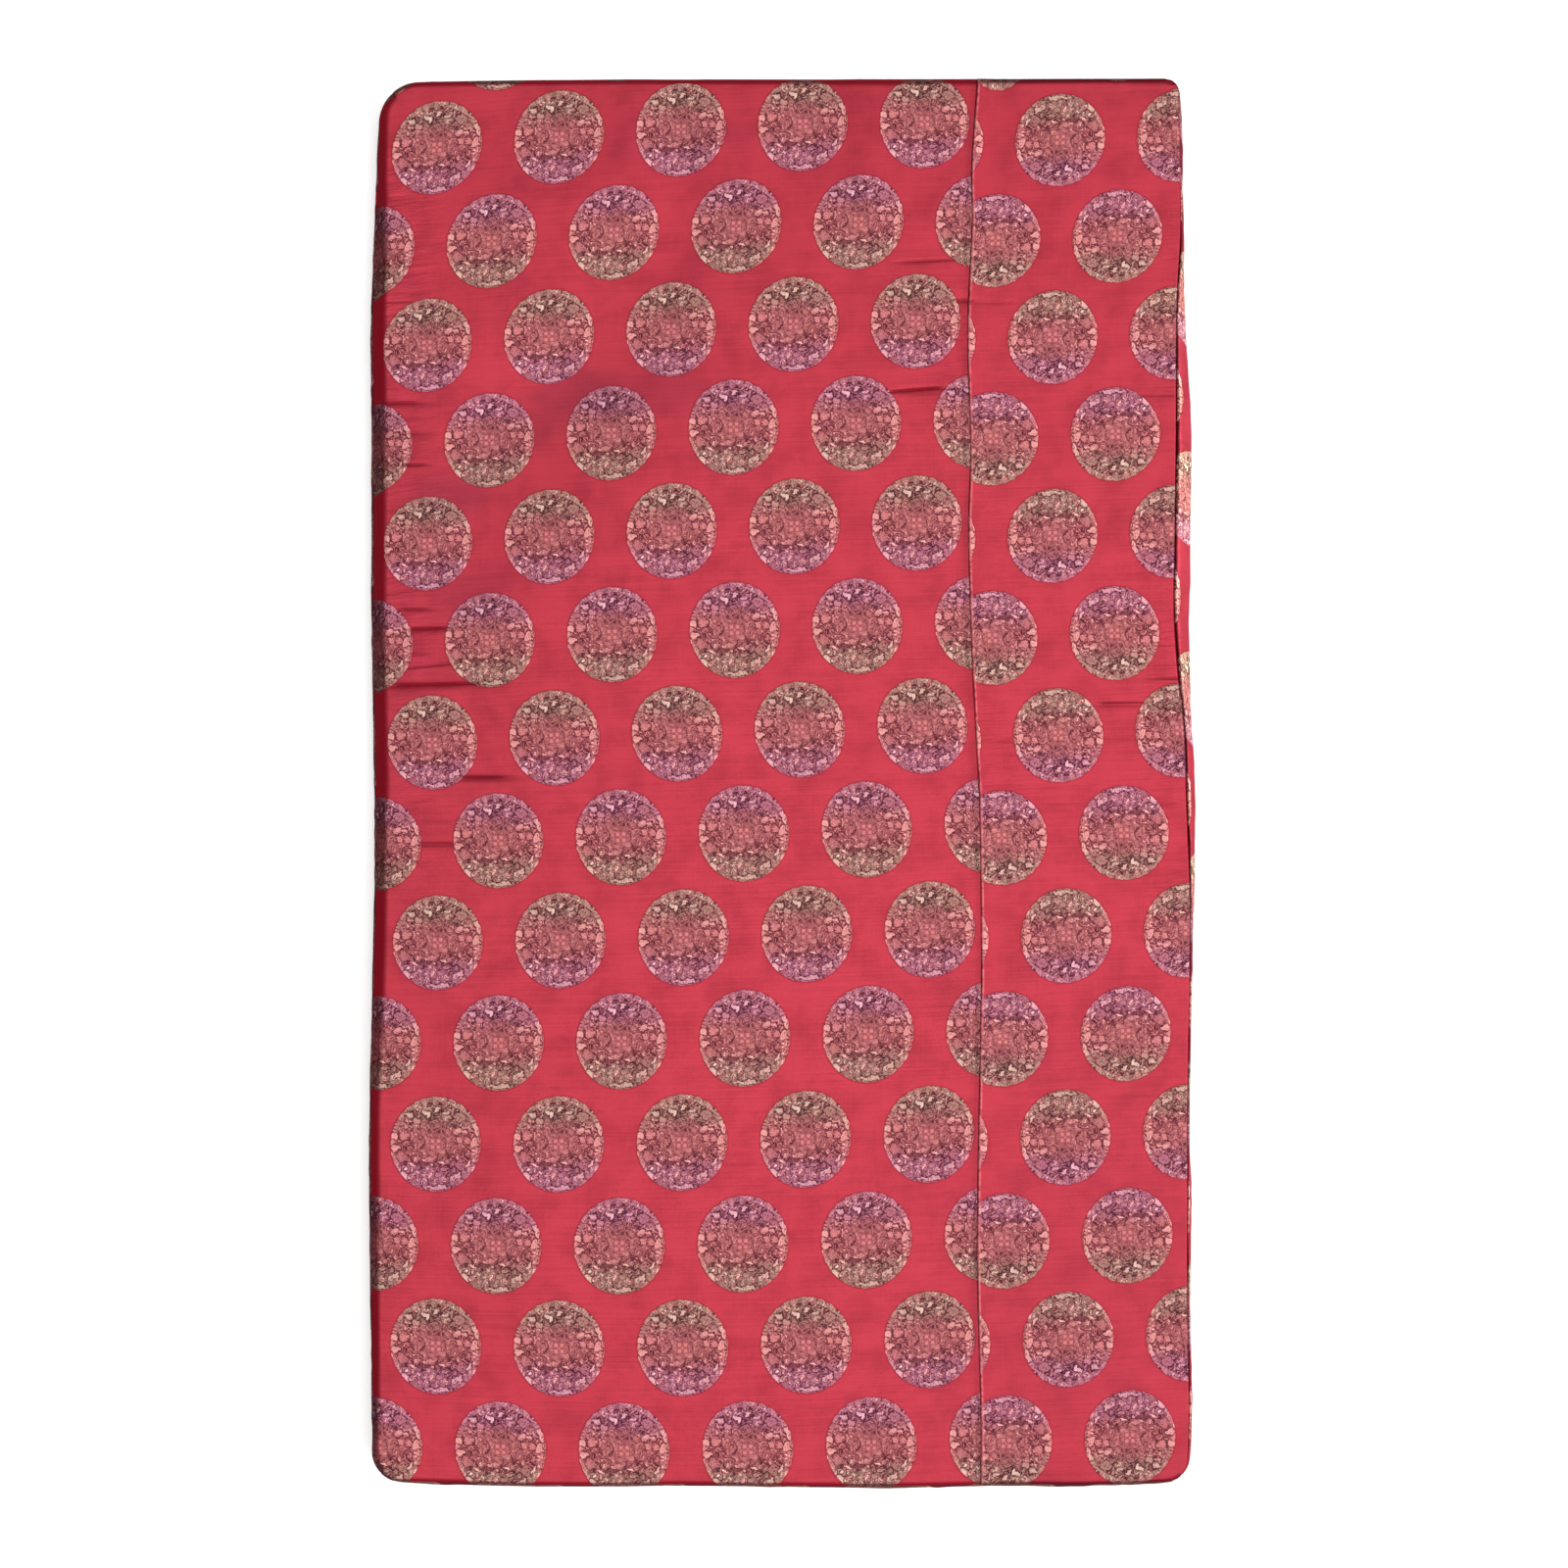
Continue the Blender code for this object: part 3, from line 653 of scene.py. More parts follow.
def paintedShadeAt(across, along):
    # How much painted shade lies at each place, 0 to 1, with uneven borders.
    ragged = 0
    for much, sizeAcross, sizeAlong, seed in paintedShadeBorder["ragged"]:
        ragged = ragged + much * unevenness(across, along, sizeAcross, sizeAlong, seed)
    most = np.zeros_like(across)
    for *oval, strength in paintedShadeZones:
        far = np.hypot(*ovalPlace(across, along, oval)) + ragged
        near = 1 - easeIn(far, paintedShadeBorder["start"], paintedShadeBorder["width"])
        most = np.maximum(most, strength * near)
    return most


def faceMaps(points, normal, share, run):
    # How much painted highlight each place gets beside the seam's fold, how much painted shade it
    # gets where steep, in the shaded zones and deep in a crease, and how finely puckered it is.
    x, y = points[:, 0], points[:, 1]
    edges = edgesAt(x, y)
    offset = x - edges["middle"]
    beside = (offset - seam["ridge"][1]) / seam["foldLight"]
    fold = np.where(offset > 0, np.exp(-beside ** 2), 0)
    # painted shade along the pinched creases, full where they are deepest
    closed = np.clip(troughs(pinches, pinchEase, x, y) / seam["closedDepth"], 0, 1)
    steep = np.clip((1 - normal[:, 2]) / seam["steepest"], 0, 1) * (1 - closed)
    puckered = np.clip(margins(x, y, edges), 0, 1)
    return {"edgeMap": (fold, steep), "dullMap": (paintedShadeAt(x, y), puckered),
            "creaseMap": (closed, 0 * closed)}


def addObject(name, data):
    made = bpy.data.objects.new(name, data)
    bpy.context.scene.collection.objects.link(made)
    return made


def gridPiece(name, shares, rows, pointsOf, clothOf, flip=False, mapsOf=None):
    # A cloth panel: a grid laid on the cushion's form, with its own cloth map.
    shape = bmesh.new()
    bmesh.ops.create_grid(shape, x_segments=len(shares) - 1, y_segments=len(rows) - 1, size=1)
    if flip:
        bmesh.ops.reverse_faces(shape, faces=shape.faces)
    mesh = bpy.data.meshes.new(name)
    shape.to_mesh(mesh)
    shape.free()
    place = np.empty(len(mesh.vertices) * 3)
    mesh.vertices.foreach_get("co", place)
    place = place.reshape(-1, 3)
    column = np.rint((place[:, 0] + 1) / 2 * (len(shares) - 1)).astype(int)
    row = np.rint((place[:, 1] + 1) / 2 * (len(rows) - 1)).astype(int)
    share, run = shares[column], rows[row]
    points = pointsOf(share, run)
    mesh.vertices.foreach_set("co", points.ravel())
    corner = np.empty(len(mesh.loops), int)
    mesh.loops.foreach_get("vertex_index", corner)
    cloth = clothOf(points, share, run)
    mesh.uv_layers.new(name="clothMap").uv.foreach_set("vector", cloth[corner].ravel())
    if mapsOf:
        mesh.update()
        normal = np.empty(len(mesh.vertices) * 3)
        mesh.vertex_normals.foreach_get("vector", normal)
        for mapName, values in mapsOf(points, normal.reshape(-1, 3), share, run).items():
            values = np.stack(values, axis=1)[corner]
            mesh.uv_layers.new(name=mapName).uv.foreach_set("vector", values.ravel())
    mesh.shade_smooth()
    return addObject(name, mesh)


def giveThickness(piece):
    cloth = piece.modifiers.new("Cloth", "SOLIDIFY")
    cloth.thickness = cushion["cloth"]
    cloth.offset = -1
    cloth.use_even_offset = False


print("stage 1: form and lines ready", len(wideShares), len(narrowShares), len(runs))


# Bands: each follows its side's upper seam and bulges out on the way down to the lower one.
band = {
    # its lines, from 0 at the upper seam to 1 at the lower
    "steps": [0.004, 0.012, 0.025, 0.045, 0.07, 0.10, 0.14, 0.19, 0.25, 0.33, 0.43, 0.54,
              0.65, 0.76, 0.86, 0.94, 0.992],
    "pucker": 0.00045,
    "slack": {"left": 0.0004, "right": 0.0012, "head": 0.0006, "foot": 0.0006},
    # how it swells over the seam, and how far down painted shade lies on it under the seam, at
    # places along
    "puff": {
        "left": ([0.0], [0.0002]),
        "right": ([-0.440, -0.400, 0.335, 0.395], [0.0002, 0.0040, 0.0040, 0.0002]),
        "head": ([0.0], [0.0002]),
        "foot": ([0.0], [0.0002]),
    },
    "grooveReach": {
        "left": ([0.0], [0.16]),
        "right": ([0.300, 0.385], [0.05, 0.17]),
        "head": ([0.0], [0.16]),
        "foot": ([0.0], [0.20]),
    },
    "puffPlace": 0.08,
    "cornerReach": 0.022,
    # strength of the painted shade on each band's upper edge
    "groove": {"left": 0.8, "right": 1.0, "head": 0.8, "foot": 0.8},
    "across": 0.05,          # its width, to the unevenness
    "slackLumps": (0.030, 0.028, 31),
    "puckerLumps": (0.016, 0.0065, 51),
    "slackShare": 0.6,
    "upperReach": 0.45,      # how far the puckers run in from each seam
    "lowerReach": 0.3,
    "mostProud": 0.0014,
    "swellShare": 0.7,
    "dullReach": 0.3,
    "clothDown": 1.03,
    "clothAlong": 1.012,
    # where the roundels fall: rows from, or columns from, and the drop to the first one's middle
    "from": {"right": 0.309, "left": 0.275, "head": 0.020, "foot": -0.010},
    "drop": {"right": 0.016, "left": 0.020, "head": 0.011, "foot": 0.014},
}


def sideLoop(name):
    # Places along a side's upper seam, counter-clockwise seen from above, run on past both corners.
    fine = np.array(alongLines) / length
    fine = np.concatenate([[0.0], fine, [1.0]])
    fullAcross = np.concatenate([[0.0], wideShares[:-1], [1.0], narrowShares[1:], [2.0]])
    fullAcross = np.unique(np.round(fullAcross, 9))
    pieces = {
        "foot": (fullAcross, np.zeros_like(fullAcross)),
        "right": (np.full_like(fine, 2.0), fine),
        "head": (fullAcross[::-1], np.ones_like(fullAcross)),
        "left": (np.zeros_like(fine), fine[::-1]),
    }
    order = ["foot", "right", "head", "left"]
    spot = order.index(name)
    before, after = pieces[order[spot - 1]], pieces[order[(spot + 1) % 4]]
    share = np.concatenate([before[0][-3:-1], pieces[name][0], after[0][1:3]])
    run = np.concatenate([before[1][-3:-1], pieces[name][1], after[1][1:3]])
    return share, run


def outline(share, run):
    # The upper seam itself: the face's edge without its creases.
    across, along = planPlaces(share, run)
    edges = edgesAt(across, along)
    height = cushion["faceHeight"] + crownRise(across, along) - edgeDrop(across, along, edges)
    height = height - troughs(creases, creaseEase, across, along) - hollows(across, along)
    across, along = roundCorners(across, along, edges)
    return np.stack([across, along, height], axis=1)


def bulge(name, place):
    # How far the band stands out from the upper seam at its fullest, and at the lower seam.
    table = sides[name]
    start = smoothLine(table, "seam", place)
    return np.array([smoothLine(table, column, place) - start for column in ("fullest", "lower")])


def cornerBulge(side, end):
    # The same for both bands that meet at a corner.
    radii = {(rightward, forward): radius for rightward, forward, radius in corners}
    inward = 0.3 * radii[side, end]
    along, across = end * (cushion["halfLength"] - inward), side * (cushion["halfWidth"] - inward)
    sideways = bulge("right" if side > 0 else "left", np.array([along]))
    lengthways = bulge("head" if end > 0 else "foot", np.array([across]))
    return (sideways + lengthways) / 2


# the corners each band runs between: side and end
bandEnds = {
    "foot": ((-1, -1), (1, -1)),
    "right": ((1, -1), (1, 1)),
    "head": ((1, 1), (-1, 1)),
    "left": ((-1, 1), (-1, -1)),
}


def bandGrid(name):
    share, run = sideLoop(name)
    seamPoints = outline(share, run)
    tangent = np.empty_like(seamPoints)
    tangent[1:-1] = seamPoints[2:] - seamPoints[:-2]
    tangent[0], tangent[-1] = tangent[1], tangent[-2]
    outward = np.stack([tangent[:, 1], -tangent[:, 0]], axis=1)
    outward = outward / np.maximum(np.hypot(outward[:, 0], outward[:, 1]), 1e-9)[:, None]
    seamPoints, outward = seamPoints[2:-2], outward[2:-2]
    place = bandPlace(name, seamPoints)
    distance = np.concatenate([[0], np.cumsum(np.hypot(*np.diff(seamPoints[:, :2], axis=0).T))])
    both = bulge(name, place)
    for corner, gap in zip(bandEnds[name], (distance, distance[-1] - distance)):
        near = 1 - easeIn(gap, 0, band["cornerReach"])
        both = both + near * (cornerBulge(*corner) - both)
    return {"points": seamPoints, "outward": outward, "out": both[0], "lean": both[1],
            "distance": distance}


def bandPlace(name, points):
    # where along its side each point of a band is
    return points[:, 1] if name in ("left", "right") else points[:, 0]


def makeBand(name):
    loop = bandGrid(name)
    total = loop["distance"][-1]

    def pick(share, key):
        at = np.clip(share * total, cushion["seamTrim"], total - cushion["seamTrim"])
        values = loop[key]
        if values.ndim == 1:
            return np.interp(at, loop["distance"], values)
        return np.stack([np.interp(at, loop["distance"], values[:, axis])
                         for axis in range(values.shape[1])], axis=1)

    def pointsOf(share, down):
        start, outward = pick(share, "points"), pick(share, "outward")
        out, lean = pick(share, "out"), pick(share, "lean")
        fall = np.sin(np.pi * down)
        along = share * total
        inner = easeIn(np.minimum(along, total - along), 0.002, band["cornerReach"])
        away = lean * down + (out - lean / 2) * fall
        wide = down * band["across"]
        slack, fine = (unevenness(wide, along, sizeAcross, sizeAlong, seed + len(name))
                       for sizeAcross, sizeAlong, seed in (band["slackLumps"], band["puckerLumps"]))
        slack, fine = inner * band["slack"][name] * slack, inner * band["pucker"] * fine
        away = away + fall * slack * band["slackShare"]
        away = away + fall ** 0.5 * fine * np.exp(-(down / band["upperReach"]) ** 2)
        away = away + 0.5 * fall ** 0.5 * fine * np.exp(-((1 - down) / band["lowerReach"]) ** 2)
        away = np.minimum(away, np.maximum(out, lean) + band["mostProud"])
        puff = down / band["puffPlace"] * np.exp(1 - down / band["puffPlace"])
        swell = np.interp(bandPlace(name, start), *band["puff"][name])
        height = start[:, 2] + (cushion["lowerSeam"] - start[:, 2]) * down
        height = height + puff * (swell + band["swellShare"] * (slack + fine))
        return np.stack([start[:, 0] + outward[:, 0] * away, start[:, 1] + outward[:, 1] * away,
                         height], axis=1)

    def clothOf(points, share, down):
        start = pick(share, "points")
        drop = down * (start[:, 2] - cushion["lowerSeam"]) * band["clothDown"] - band["drop"][name]
        if name in ("left", "right"):
            row = (band["from"][name] - points[:, 1]) / (repeat["along"] * band["clothAlong"])
            return np.stack([drop / repeat["across"], row], axis=1)
        column = (points[:, 0] - band["from"][name]) / repeat["across"]
        return np.stack([column, drop / repeat["along"]], axis=1)

    def mapsOf(points, normal, share, down):
        # painted shade on the band's upper edge, where its cloth turns down into the seam
        reach = np.interp(bandPlace(name, points), *band["grooveReach"][name])
        steep = band["groove"][name] * np.exp(-(down / reach) ** 2)
        none = np.zeros_like(steep)
        return {"edgeMap": (none, steep), "dullMap": (none, np.exp(-down / band["dullReach"])),
                "creaseMap": (none, none)}

    shares = loop["distance"] / total
    # the grid's second line runs up the band, so its first row is the lower seam
    steps = np.array(band["steps"][::-1])
    piece = gridPiece("band" + name.capitalize(), shares, steps, pointsOf, clothOf, mapsOf=mapsOf)
    giveThickness(piece)
    print("band", name, len(shares), "length", round(float(total), 4))
    return piece, float(total)


faceWide = gridPiece("faceWide", wideShares, runs, facePoints, wideCloth, mapsOf=faceMaps)
faceNarrow = gridPiece("faceNarrow", narrowShares, runs, facePoints, narrowCloth, mapsOf=faceMaps)
for piece in (faceWide, faceNarrow):
    giveThickness(piece)
bands = {name: makeBand(name) for name in ("left", "right", "head", "foot")}
print("stage 2: face panels and bands made")


# The back panel and the filling
def backCloth(points, share, run):
    return np.stack([(back["clothAcross"] - points[:, 0]) / repeat["across"],
                     (back["clothAlong"] - points[:, 1]) / repeat["along"]], axis=1)


def backLines():
    rolled = np.array(rolledLines(back["rollDepth"], back["rollLines"]))
    left, right = rolled / grids["wideWidth"], 2 - rolled[::-1] / grids["narrowWidth"]
    left = np.concatenate([left, evenLines(left[-1], 1.0, back["acrossStep"] / grids["wideWidth"])])
    inner = evenLines(1.0, right[0], back["acrossStep"] / grids["narrowWidth"])[:-1]
    foot = np.array(endLines) / length
    between = evenLines(foot[-1], 1 - foot[-1], back["alongStep"] / length)[:-1]
    return np.concatenate([left, inner, right]), np.concatenate([foot, between, 1 - foot[::-1]])


backPanel = gridPiece("backPanel", *backLines(), backPoints, backCloth, flip=True)
giveThickness(backPanel)

filling = {
    "inset": 0.0021,
    "acrossStep": 0.012,
    "alongStep": 0.006,
    "edgeLines": [0.0, 0.0012, 0.0045],
    "wideEdge": 0.011,
    "narrowEdge": 0.0035,
    "sideLines": (0.12, 0.3, 0.5, 0.7, 0.88, 1.0),   # shares of the way down its sides
    "merge": 1e-5,
}


def perimeterOf(columns, rows):
    foot = [(column, 0) for column in range(columns)]
    right = [(columns, row) for row in range(rows)]
    head = [(column, rows) for column in range(columns, 0, -1)]
    left = [(0, row) for row in range(rows, 0, -1)]
    return foot + right + head + left


def makeFilling():
    # One closed form inside the cover: a top, four sides from the bands' own curve, and a bottom.
    edgeLines = filling["edgeLines"]
    first, last = edgeLines[1], edgeLines[-1]
    wide = edgeLines + [filling["wideEdge"]]
    wide += evenLines(wide[-1], grids["wideWidth"], filling["acrossStep"])
    narrow = evenLines(0.0, grids["narrowWidth"] - filling["narrowEdge"], filling["acrossStep"])
    narrow += [grids["narrowWidth"] - first, grids["narrowWidth"]]
    shares = np.concatenate([np.array(wide) / grids["wideWidth"],
                             1 + np.array(narrow) / grids["narrowWidth"]])
    rows = edgeLines + evenLines(last, length - last, filling["alongStep"])
    rows = np.array(rows + [length - first, length]) / length
    columns, lines = len(shares) - 1, len(rows) - 1
    around = perimeterOf(columns, lines)
    shape = bmesh.new()
    spots = shape.verts.layers.int.new("spot")
    floors = shape.verts.layers.int.new("floor")
    for floor in (0, 1):
        made = bmesh.ops.create_grid(shape, x_segments=columns, y_segments=lines, size=1)["verts"]
        place = np.array([vertex.co for vertex in made])
        column = np.rint((place[:, 0] + 1) / 2 * columns).astype(int)
        row = np.rint((place[:, 1] + 1) / 2 * lines).astype(int)
        points = (backPoints if floor else facePoints)(shares[column], rows[row])
        spotOf = {spot: number for number, spot in enumerate(around)}
        for vertex, point, c, r in zip(made, points, column, row):
            vertex.co = point
            vertex[floors] = floor
            vertex[spots] = spotOf.get((int(c), int(r)), -1)
    # sides: the top's rim goes down in steps to the back's rim
    rimTop, rimLow = ({vertex[spots]: vertex.co.copy() for vertex in shape.verts
                       if vertex[spots] >= 0 and vertex[floors] == floor} for floor in (0, 1))
    rim = [edge for edge in shape.edges
           if edge.is_boundary and all(vertex[floors] == 0 for vertex in edge.verts)]
    outs = []
    for number, (c, r) in enumerate(around):
        onSide = {"left": c == 0, "right": c == columns, "foot": r == 0, "head": r == lines}
        values = []
        for name in (name for name, hit in onSide.items() if hit):
            at = rimTop[number].y if name in ("left", "right") else rimTop[number].x
            out, lean = bulge(name, at)
            values.append(float(out - lean / 2))
        outs.append(sum(values) / len(values))
    for down in filling["sideLines"]:
        made = bmesh.ops.extrude_edge_only(shape, edges=rim)["geom"]
        rim = [item for item in made if isinstance(item, bmesh.types.BMEdge) and item.is_boundary]
        for vertex in (item for item in made if isinstance(item, bmesh.types.BMVert)):
            number = vertex[spots]
            ahead, behind = rimTop[(number + 1) % len(around)], rimTop[(number - 1) % len(around)]
            tangent = ahead - behind
            outward = tangent.cross((0, 0, 1)).normalized()
            vertex.co = rimTop[number].lerp(rimLow[number], down)
            vertex.co += outward * outs[number] * math.sin(math.pi * down)
    bmesh.ops.remove_doubles(shape, verts=shape.verts, dist=filling["merge"])
    # Extruding leaves the sides in an order that changes from run to run, so the faces are sorted.
    inOrder = sorted(shape.faces, key=lambda face: tuple(face.calc_center_median()))
    for number, face in enumerate(inOrder):
        face.index = number
    shape.faces.sort()
    bmesh.ops.recalc_face_normals(shape, faces=shape.faces)
    shape.normal_update()
    inset = [(vertex, vertex.normal * filling["inset"]) for vertex in shape.verts]
    for vertex, step in inset:
        vertex.co -= step
    print("filling closed:", all(edge.is_manifold for edge in shape.edges), len(shape.faces))
    mesh = bpy.data.meshes.new("filledBody")
    shape.to_mesh(mesh)
    shape.free()
    mesh.shade_smooth()
    return addObject("filledBody", mesh)


filledBody = makeFilling()
print("stage 3: back and filling made")


# Materials
class Wire:
    # One output of a node, which adds and multiplies like a number.
    def __init__(self, finish, node, output=0):
        self.finish, self.node, self.socket = finish, node, node.outputs[output]

    def __getitem__(self, output):
        return Wire(self.finish, self.node, output)

    def math(self, operation, *values):
        return self.finish.add("Math", {"operation": operation}, values)

    def __add__(self, other):
        return self.math("ADD", self, other)

    def __sub__(self, other):
        return self.math("SUBTRACT", self, other)

    def __rsub__(self, other):
        return self.math("SUBTRACT", other, self)

    def __mul__(self, other):
        return self.math("MULTIPLY", self, other)

    def __truediv__(self, other):
        return self.math("DIVIDE", self, other)

    def __pow__(self, other):
        return self.math("POWER", self, other)

    def __mod__(self, other):
        return self.math("FLOORED_MODULO", self, other)

    def __abs__(self):
        return self.math("ABSOLUTE", self)

    __radd__, __rmul__ = __add__, __mul__

    def floor(self):
        return self.math("FLOOR", self)

    def smallest(self, other):
        return self.math("MINIMUM", self, other)

    def largest(self, other):
        return self.math("MAXIMUM", self, other)

    def ease(self, start, end, most=1.0):
        # 0 at start and the most at end, also where end is the smaller
        if start > end:
            reach = {1: end, 2: start, 3: most, 4: 0.0}
        else:
            reach = {1: start, 2: end, 3: 0.0, 4: most}
        return self.finish.add("MapRange", {"interpolation_type": "SMOOTHSTEP"}, {0: self, **reach})


def tint(red, green, blue):
    # a colour as a picture program names it, made linear
    return tuple(((v / 255 + 0.055) / 1.055) ** 2.4 if v > 10 else v / 255 / 12.92
                 for v in (red, green, blue)) + (1.0,)


class Finish:
    def __init__(self, name):
        self.material = bpy.data.materials.new(name)
        self.material.use_nodes = True
        self.tree = self.material.node_tree
        self.shader = self.tree.nodes["Principled BSDF"]

    def add(self, kind, settings, inputs, output=0):
        node = self.tree.nodes.new("ShaderNode" + kind)
        for key, value in settings.items():
            if key == "stops":
                ramp = node.color_ramp.elements
                while len(ramp) < len(value):
                    ramp.new(0.5)
                for element, (place, colour) in zip(ramp, value):
                    element.position, element.color = place, colour
            else:
                setattr(node, key, value)
        for key, value in (inputs.items() if isinstance(inputs, dict) else enumerate(inputs)):
            self.join(value, node.inputs[key])
        return Wire(self, node, output)

    def join(self, value, socket):
        if isinstance(value, Wire):
            self.tree.links.new(value.socket, socket)
        else:
            socket.default_value = value

    def mix(self, share, first, second, blend="MIX"):
        return self.add("Mix", {"data_type": "RGBA", "blend_type": blend, "clamp_result": True},
                        {0: share, 6: first, 7: second}, output=2)

    def flat(self, x, y):
        return self.add("CombineXYZ", {}, (x, y, 0.0))

    def vector(self, operation, *values, output=0):
        return self.add("VectorMath", {"operation": operation}, values, output=output)

    def dot(self, place, direction):
        return self.vector("DOT_PRODUCT", place, direction, output="Value")

    def ownMap(self, name):
        return self.add("SeparateXYZ", {}, (self.add("UVMap", {"uv_map": name}, {}),))

    def noise(self, place, scale, detail=2.0, rough=0.5):
        return self.add("TexNoise", {"noise_dimensions": "2D"},
                        {"Vector": place, "Scale": scale, "Detail": detail, "Roughness": rough})

    def cells(self, place, feature, scale, loose=1.0, output="Distance"):
        return self.add("TexVoronoi", {"voronoi_dimensions": "2D", "feature": feature},
                        {"Vector": place, "Scale": scale, "Randomness": loose}, output=output)


satin = {
    "ground": tint(174, 49, 64),
    "groundDeep": tint(152, 39, 54),
    # painted shade: the ground's colour in the shaded zones
    "groundShade": tint(126, 36, 54),
    "halo": tint(140, 26, 40),
    # painted shade on the face's steep strips and rolled edges
    "steep": tint(184, 5, 38),
    # painted shade on the narrow panel's steep strips
    "rim": tint(132, 6, 32),
    # painted shade in closed creases
    "crease": tint(104, 6, 28),
    # painted shade on the bands' upper edge under the seam
    "groove": tint(72, 8, 20),
    # painted shade over the figure on steep strips
    "steepFigure": (0.46, 0.36, 0.40, 1.0),
    # painted highlight on the lit ridge beside the lengthwise seam
    "fold": tint(236, 128, 134),
    # painted shade over the figure in the shaded zones
    "dullFigure": (0.62, 0.56, 0.66, 1.0),
    "gloss": 0.54,           # share of the colour that comes from its shine
    "bandGloss": 0.34,
    # painted light: the bands' figure and whole colour are lightened, standing in for strong side
    # light
    "bandFigure": (1.22, 1.55, 1.30, 1.0),
    "bandBrightness": 1.14,
    "backBrightness": 0.93,
    "roughness": 0.56,
    "specular": 0.20,
    "weaveBump": 0.00006,
    "roundelRise": 0.00016,  # the woven figure stands a little proud
    "pleatRise": 0.0009,     # the finest puckers along the margins
}

# Tones of the figure's own weft, from its darkest to its lightest: for pink, mauve and olive rows
figureTones = {
    "pink": [tint(84, 28, 40), tint(164, 82, 87), tint(208, 124, 125), tint(246, 190, 180)],
    "mauve": [tint(76, 24, 48), tint(158, 86, 106), tint(196, 125, 142), tint(240, 188, 196)],
    "olive": [tint(72, 34, 36), tint(150, 100, 94), tint(188, 142, 130), tint(234, 198, 184)],
    "middle": [tint(102, 42, 50), tint(160, 87, 90), tint(186, 112, 111), tint(224, 166, 157)],
}

# The roundel's figure, in millimetres. Radii of the whole roundel are shares, 1 on its edge.
figure = {
    "bend": 5.0,                 # how far noise bends its shapes
    "bendScale": 0.27,
    "blobScale": 0.33,
    "blobLoose": 0.95,
    "unevenScale": 0.45,
    "waveScale": 0.24,
    "waves": 4.5,
    "middle": (0.34, 0.56),      # the finer middle of the roundel ends between these
    "rim": (0.880, 0.905),
    "petals": 29,
    "square": (3.9, 3.5),        # the square in its middle
    "squareDot": (0.8, 0.4),
    "squareCorner": (1.3, 0.8),
    "cornerPlace": 1.9,
    "squareTone": 0.34,
    "jag": 0.016,
    "petalDepth": 0.030,
    "stops": (0.02, 0.34, 0.62, 0.86),
}

# Charted shapes over the blobs: place, half sizes, turn, tone.
lobes = [
    (-26.0, 4.6, 2.2, 1.8, 0, 0.80), (-25.2, -2.8, 2.8, 2.3, 0, 0.78),
    (-20.2, 4.8, 2.9, 2.5, 0, 0.66), (25.4, 8.6, 1.7, 4.2, 20, 0.84),
    (24.4, 0.6, 2.6, 2.8, 0, 0.76), (18.4, 7.8, 2.0, 1.5, 0, 0.78),
    (13.4, 8.2, 2.5, 2.1, 20, 0.74), (14.8, 3.2, 2.4, 2.0, -20, 0.68),
    (19.6, 2.4, 2.1, 2.1, 0, 0.60), (-6.2, 18.8, 3.0, 1.5, 0, 0.90),
    (1.2, 21.6, 2.3, 1.3, 20, 0.84), (6.6, 19.2, 2.0, 1.3, 0, 0.78),
    (3.9, -11.6, 2.9, 0.9, -20, 0.95), (-2.4, -13.4, 1.6, 1.4, 0, 0.80),
    (-8.4, -12.6, 3.0, 0.8, 0, 0.12), (15.2, 17.2, 3.9, 2.9, -20, 0.46),
    (16.2, -13.4, 3.4, 3.3, 0, 0.44), (20.6, -12.6, 0.9, 3.0, -20, 0.90),
    (-18.3, -16.1, 2.6, 2.4, 0, 0.58), (-18.3, -16.1, 0.9, 0.9, 0, 1.0),
    (-21.4, -8.4, 3.3, 2.9, -45, 0.50), (12.8, -20.6, 4.2, 1.8, 20, 0.80),
    (-19.4, -20.0, 3.0, 1.4, -45, 0.84), (1.0, -27.4, 7.5, 1.1, 0, 0.76),
    (2.2, -19.6, 2.2, 1.5, 0, 0.52), (-12.4, 14.6, 2.6, 2.2, 20, 0.62),
    (-16.6, 18.2, 2.8, 1.7, 45, 0.78),
]

# Curved lines of the figure: middle, radius, half width, strength.
curls = [
    (6.4, -12.8, 4.8, 0.50, 0.46), (6.4, -12.8, 6.8, 0.45, 0.36), (-1.0, 13.0, 3.4, 0.50, 0.36),
    (-1.0, 13.0, 5.6, 0.45, 0.32), (-18.3, -16.1, 1.8, 0.45, 0.50), (-11.0, 1.0, 4.2, 0.50, 0.34),
    (10.0, -3.0, 4.4, 0.45, 0.32), (-12.0, -8.0, 3.4, 0.50, 0.40), (9.0, 8.0, 3.2, 0.45, 0.34),
]

# Grains of the satin: how often they come in a millimetre across and along, detail, roughness.
grains = {
    "threads": (0.05, 3.2, 2.0, 0.6),
    "jag": (0.22, 2.6, 2.0, 0.6),
    "streaks": (0.018, 0.9, 3.0, 0.6),
    "warp": (1.1, 0.02, 2.0, 0.6),
    "pale": (0.2, 0.25, 1.0, 0.5),
    "weave": (0.6, 5.0, 1.0, 0.5),
    "pleats": (0.035, 0.22, 2.0, 0.6),
}


def drawnCurls(finish, bent, ink):
    for middleX, middleY, size, halfWidth, strength in curls:
        middle = (middleX + figure["bend"] / 2, middleY + figure["bend"] / 2, 0.0)
        away = finish.vector("DISTANCE", bent, middle, output="Value")
        ink = ink.largest(abs(away - size).ease(halfWidth * 1.5, halfWidth * 0.5, strength))
    return ink


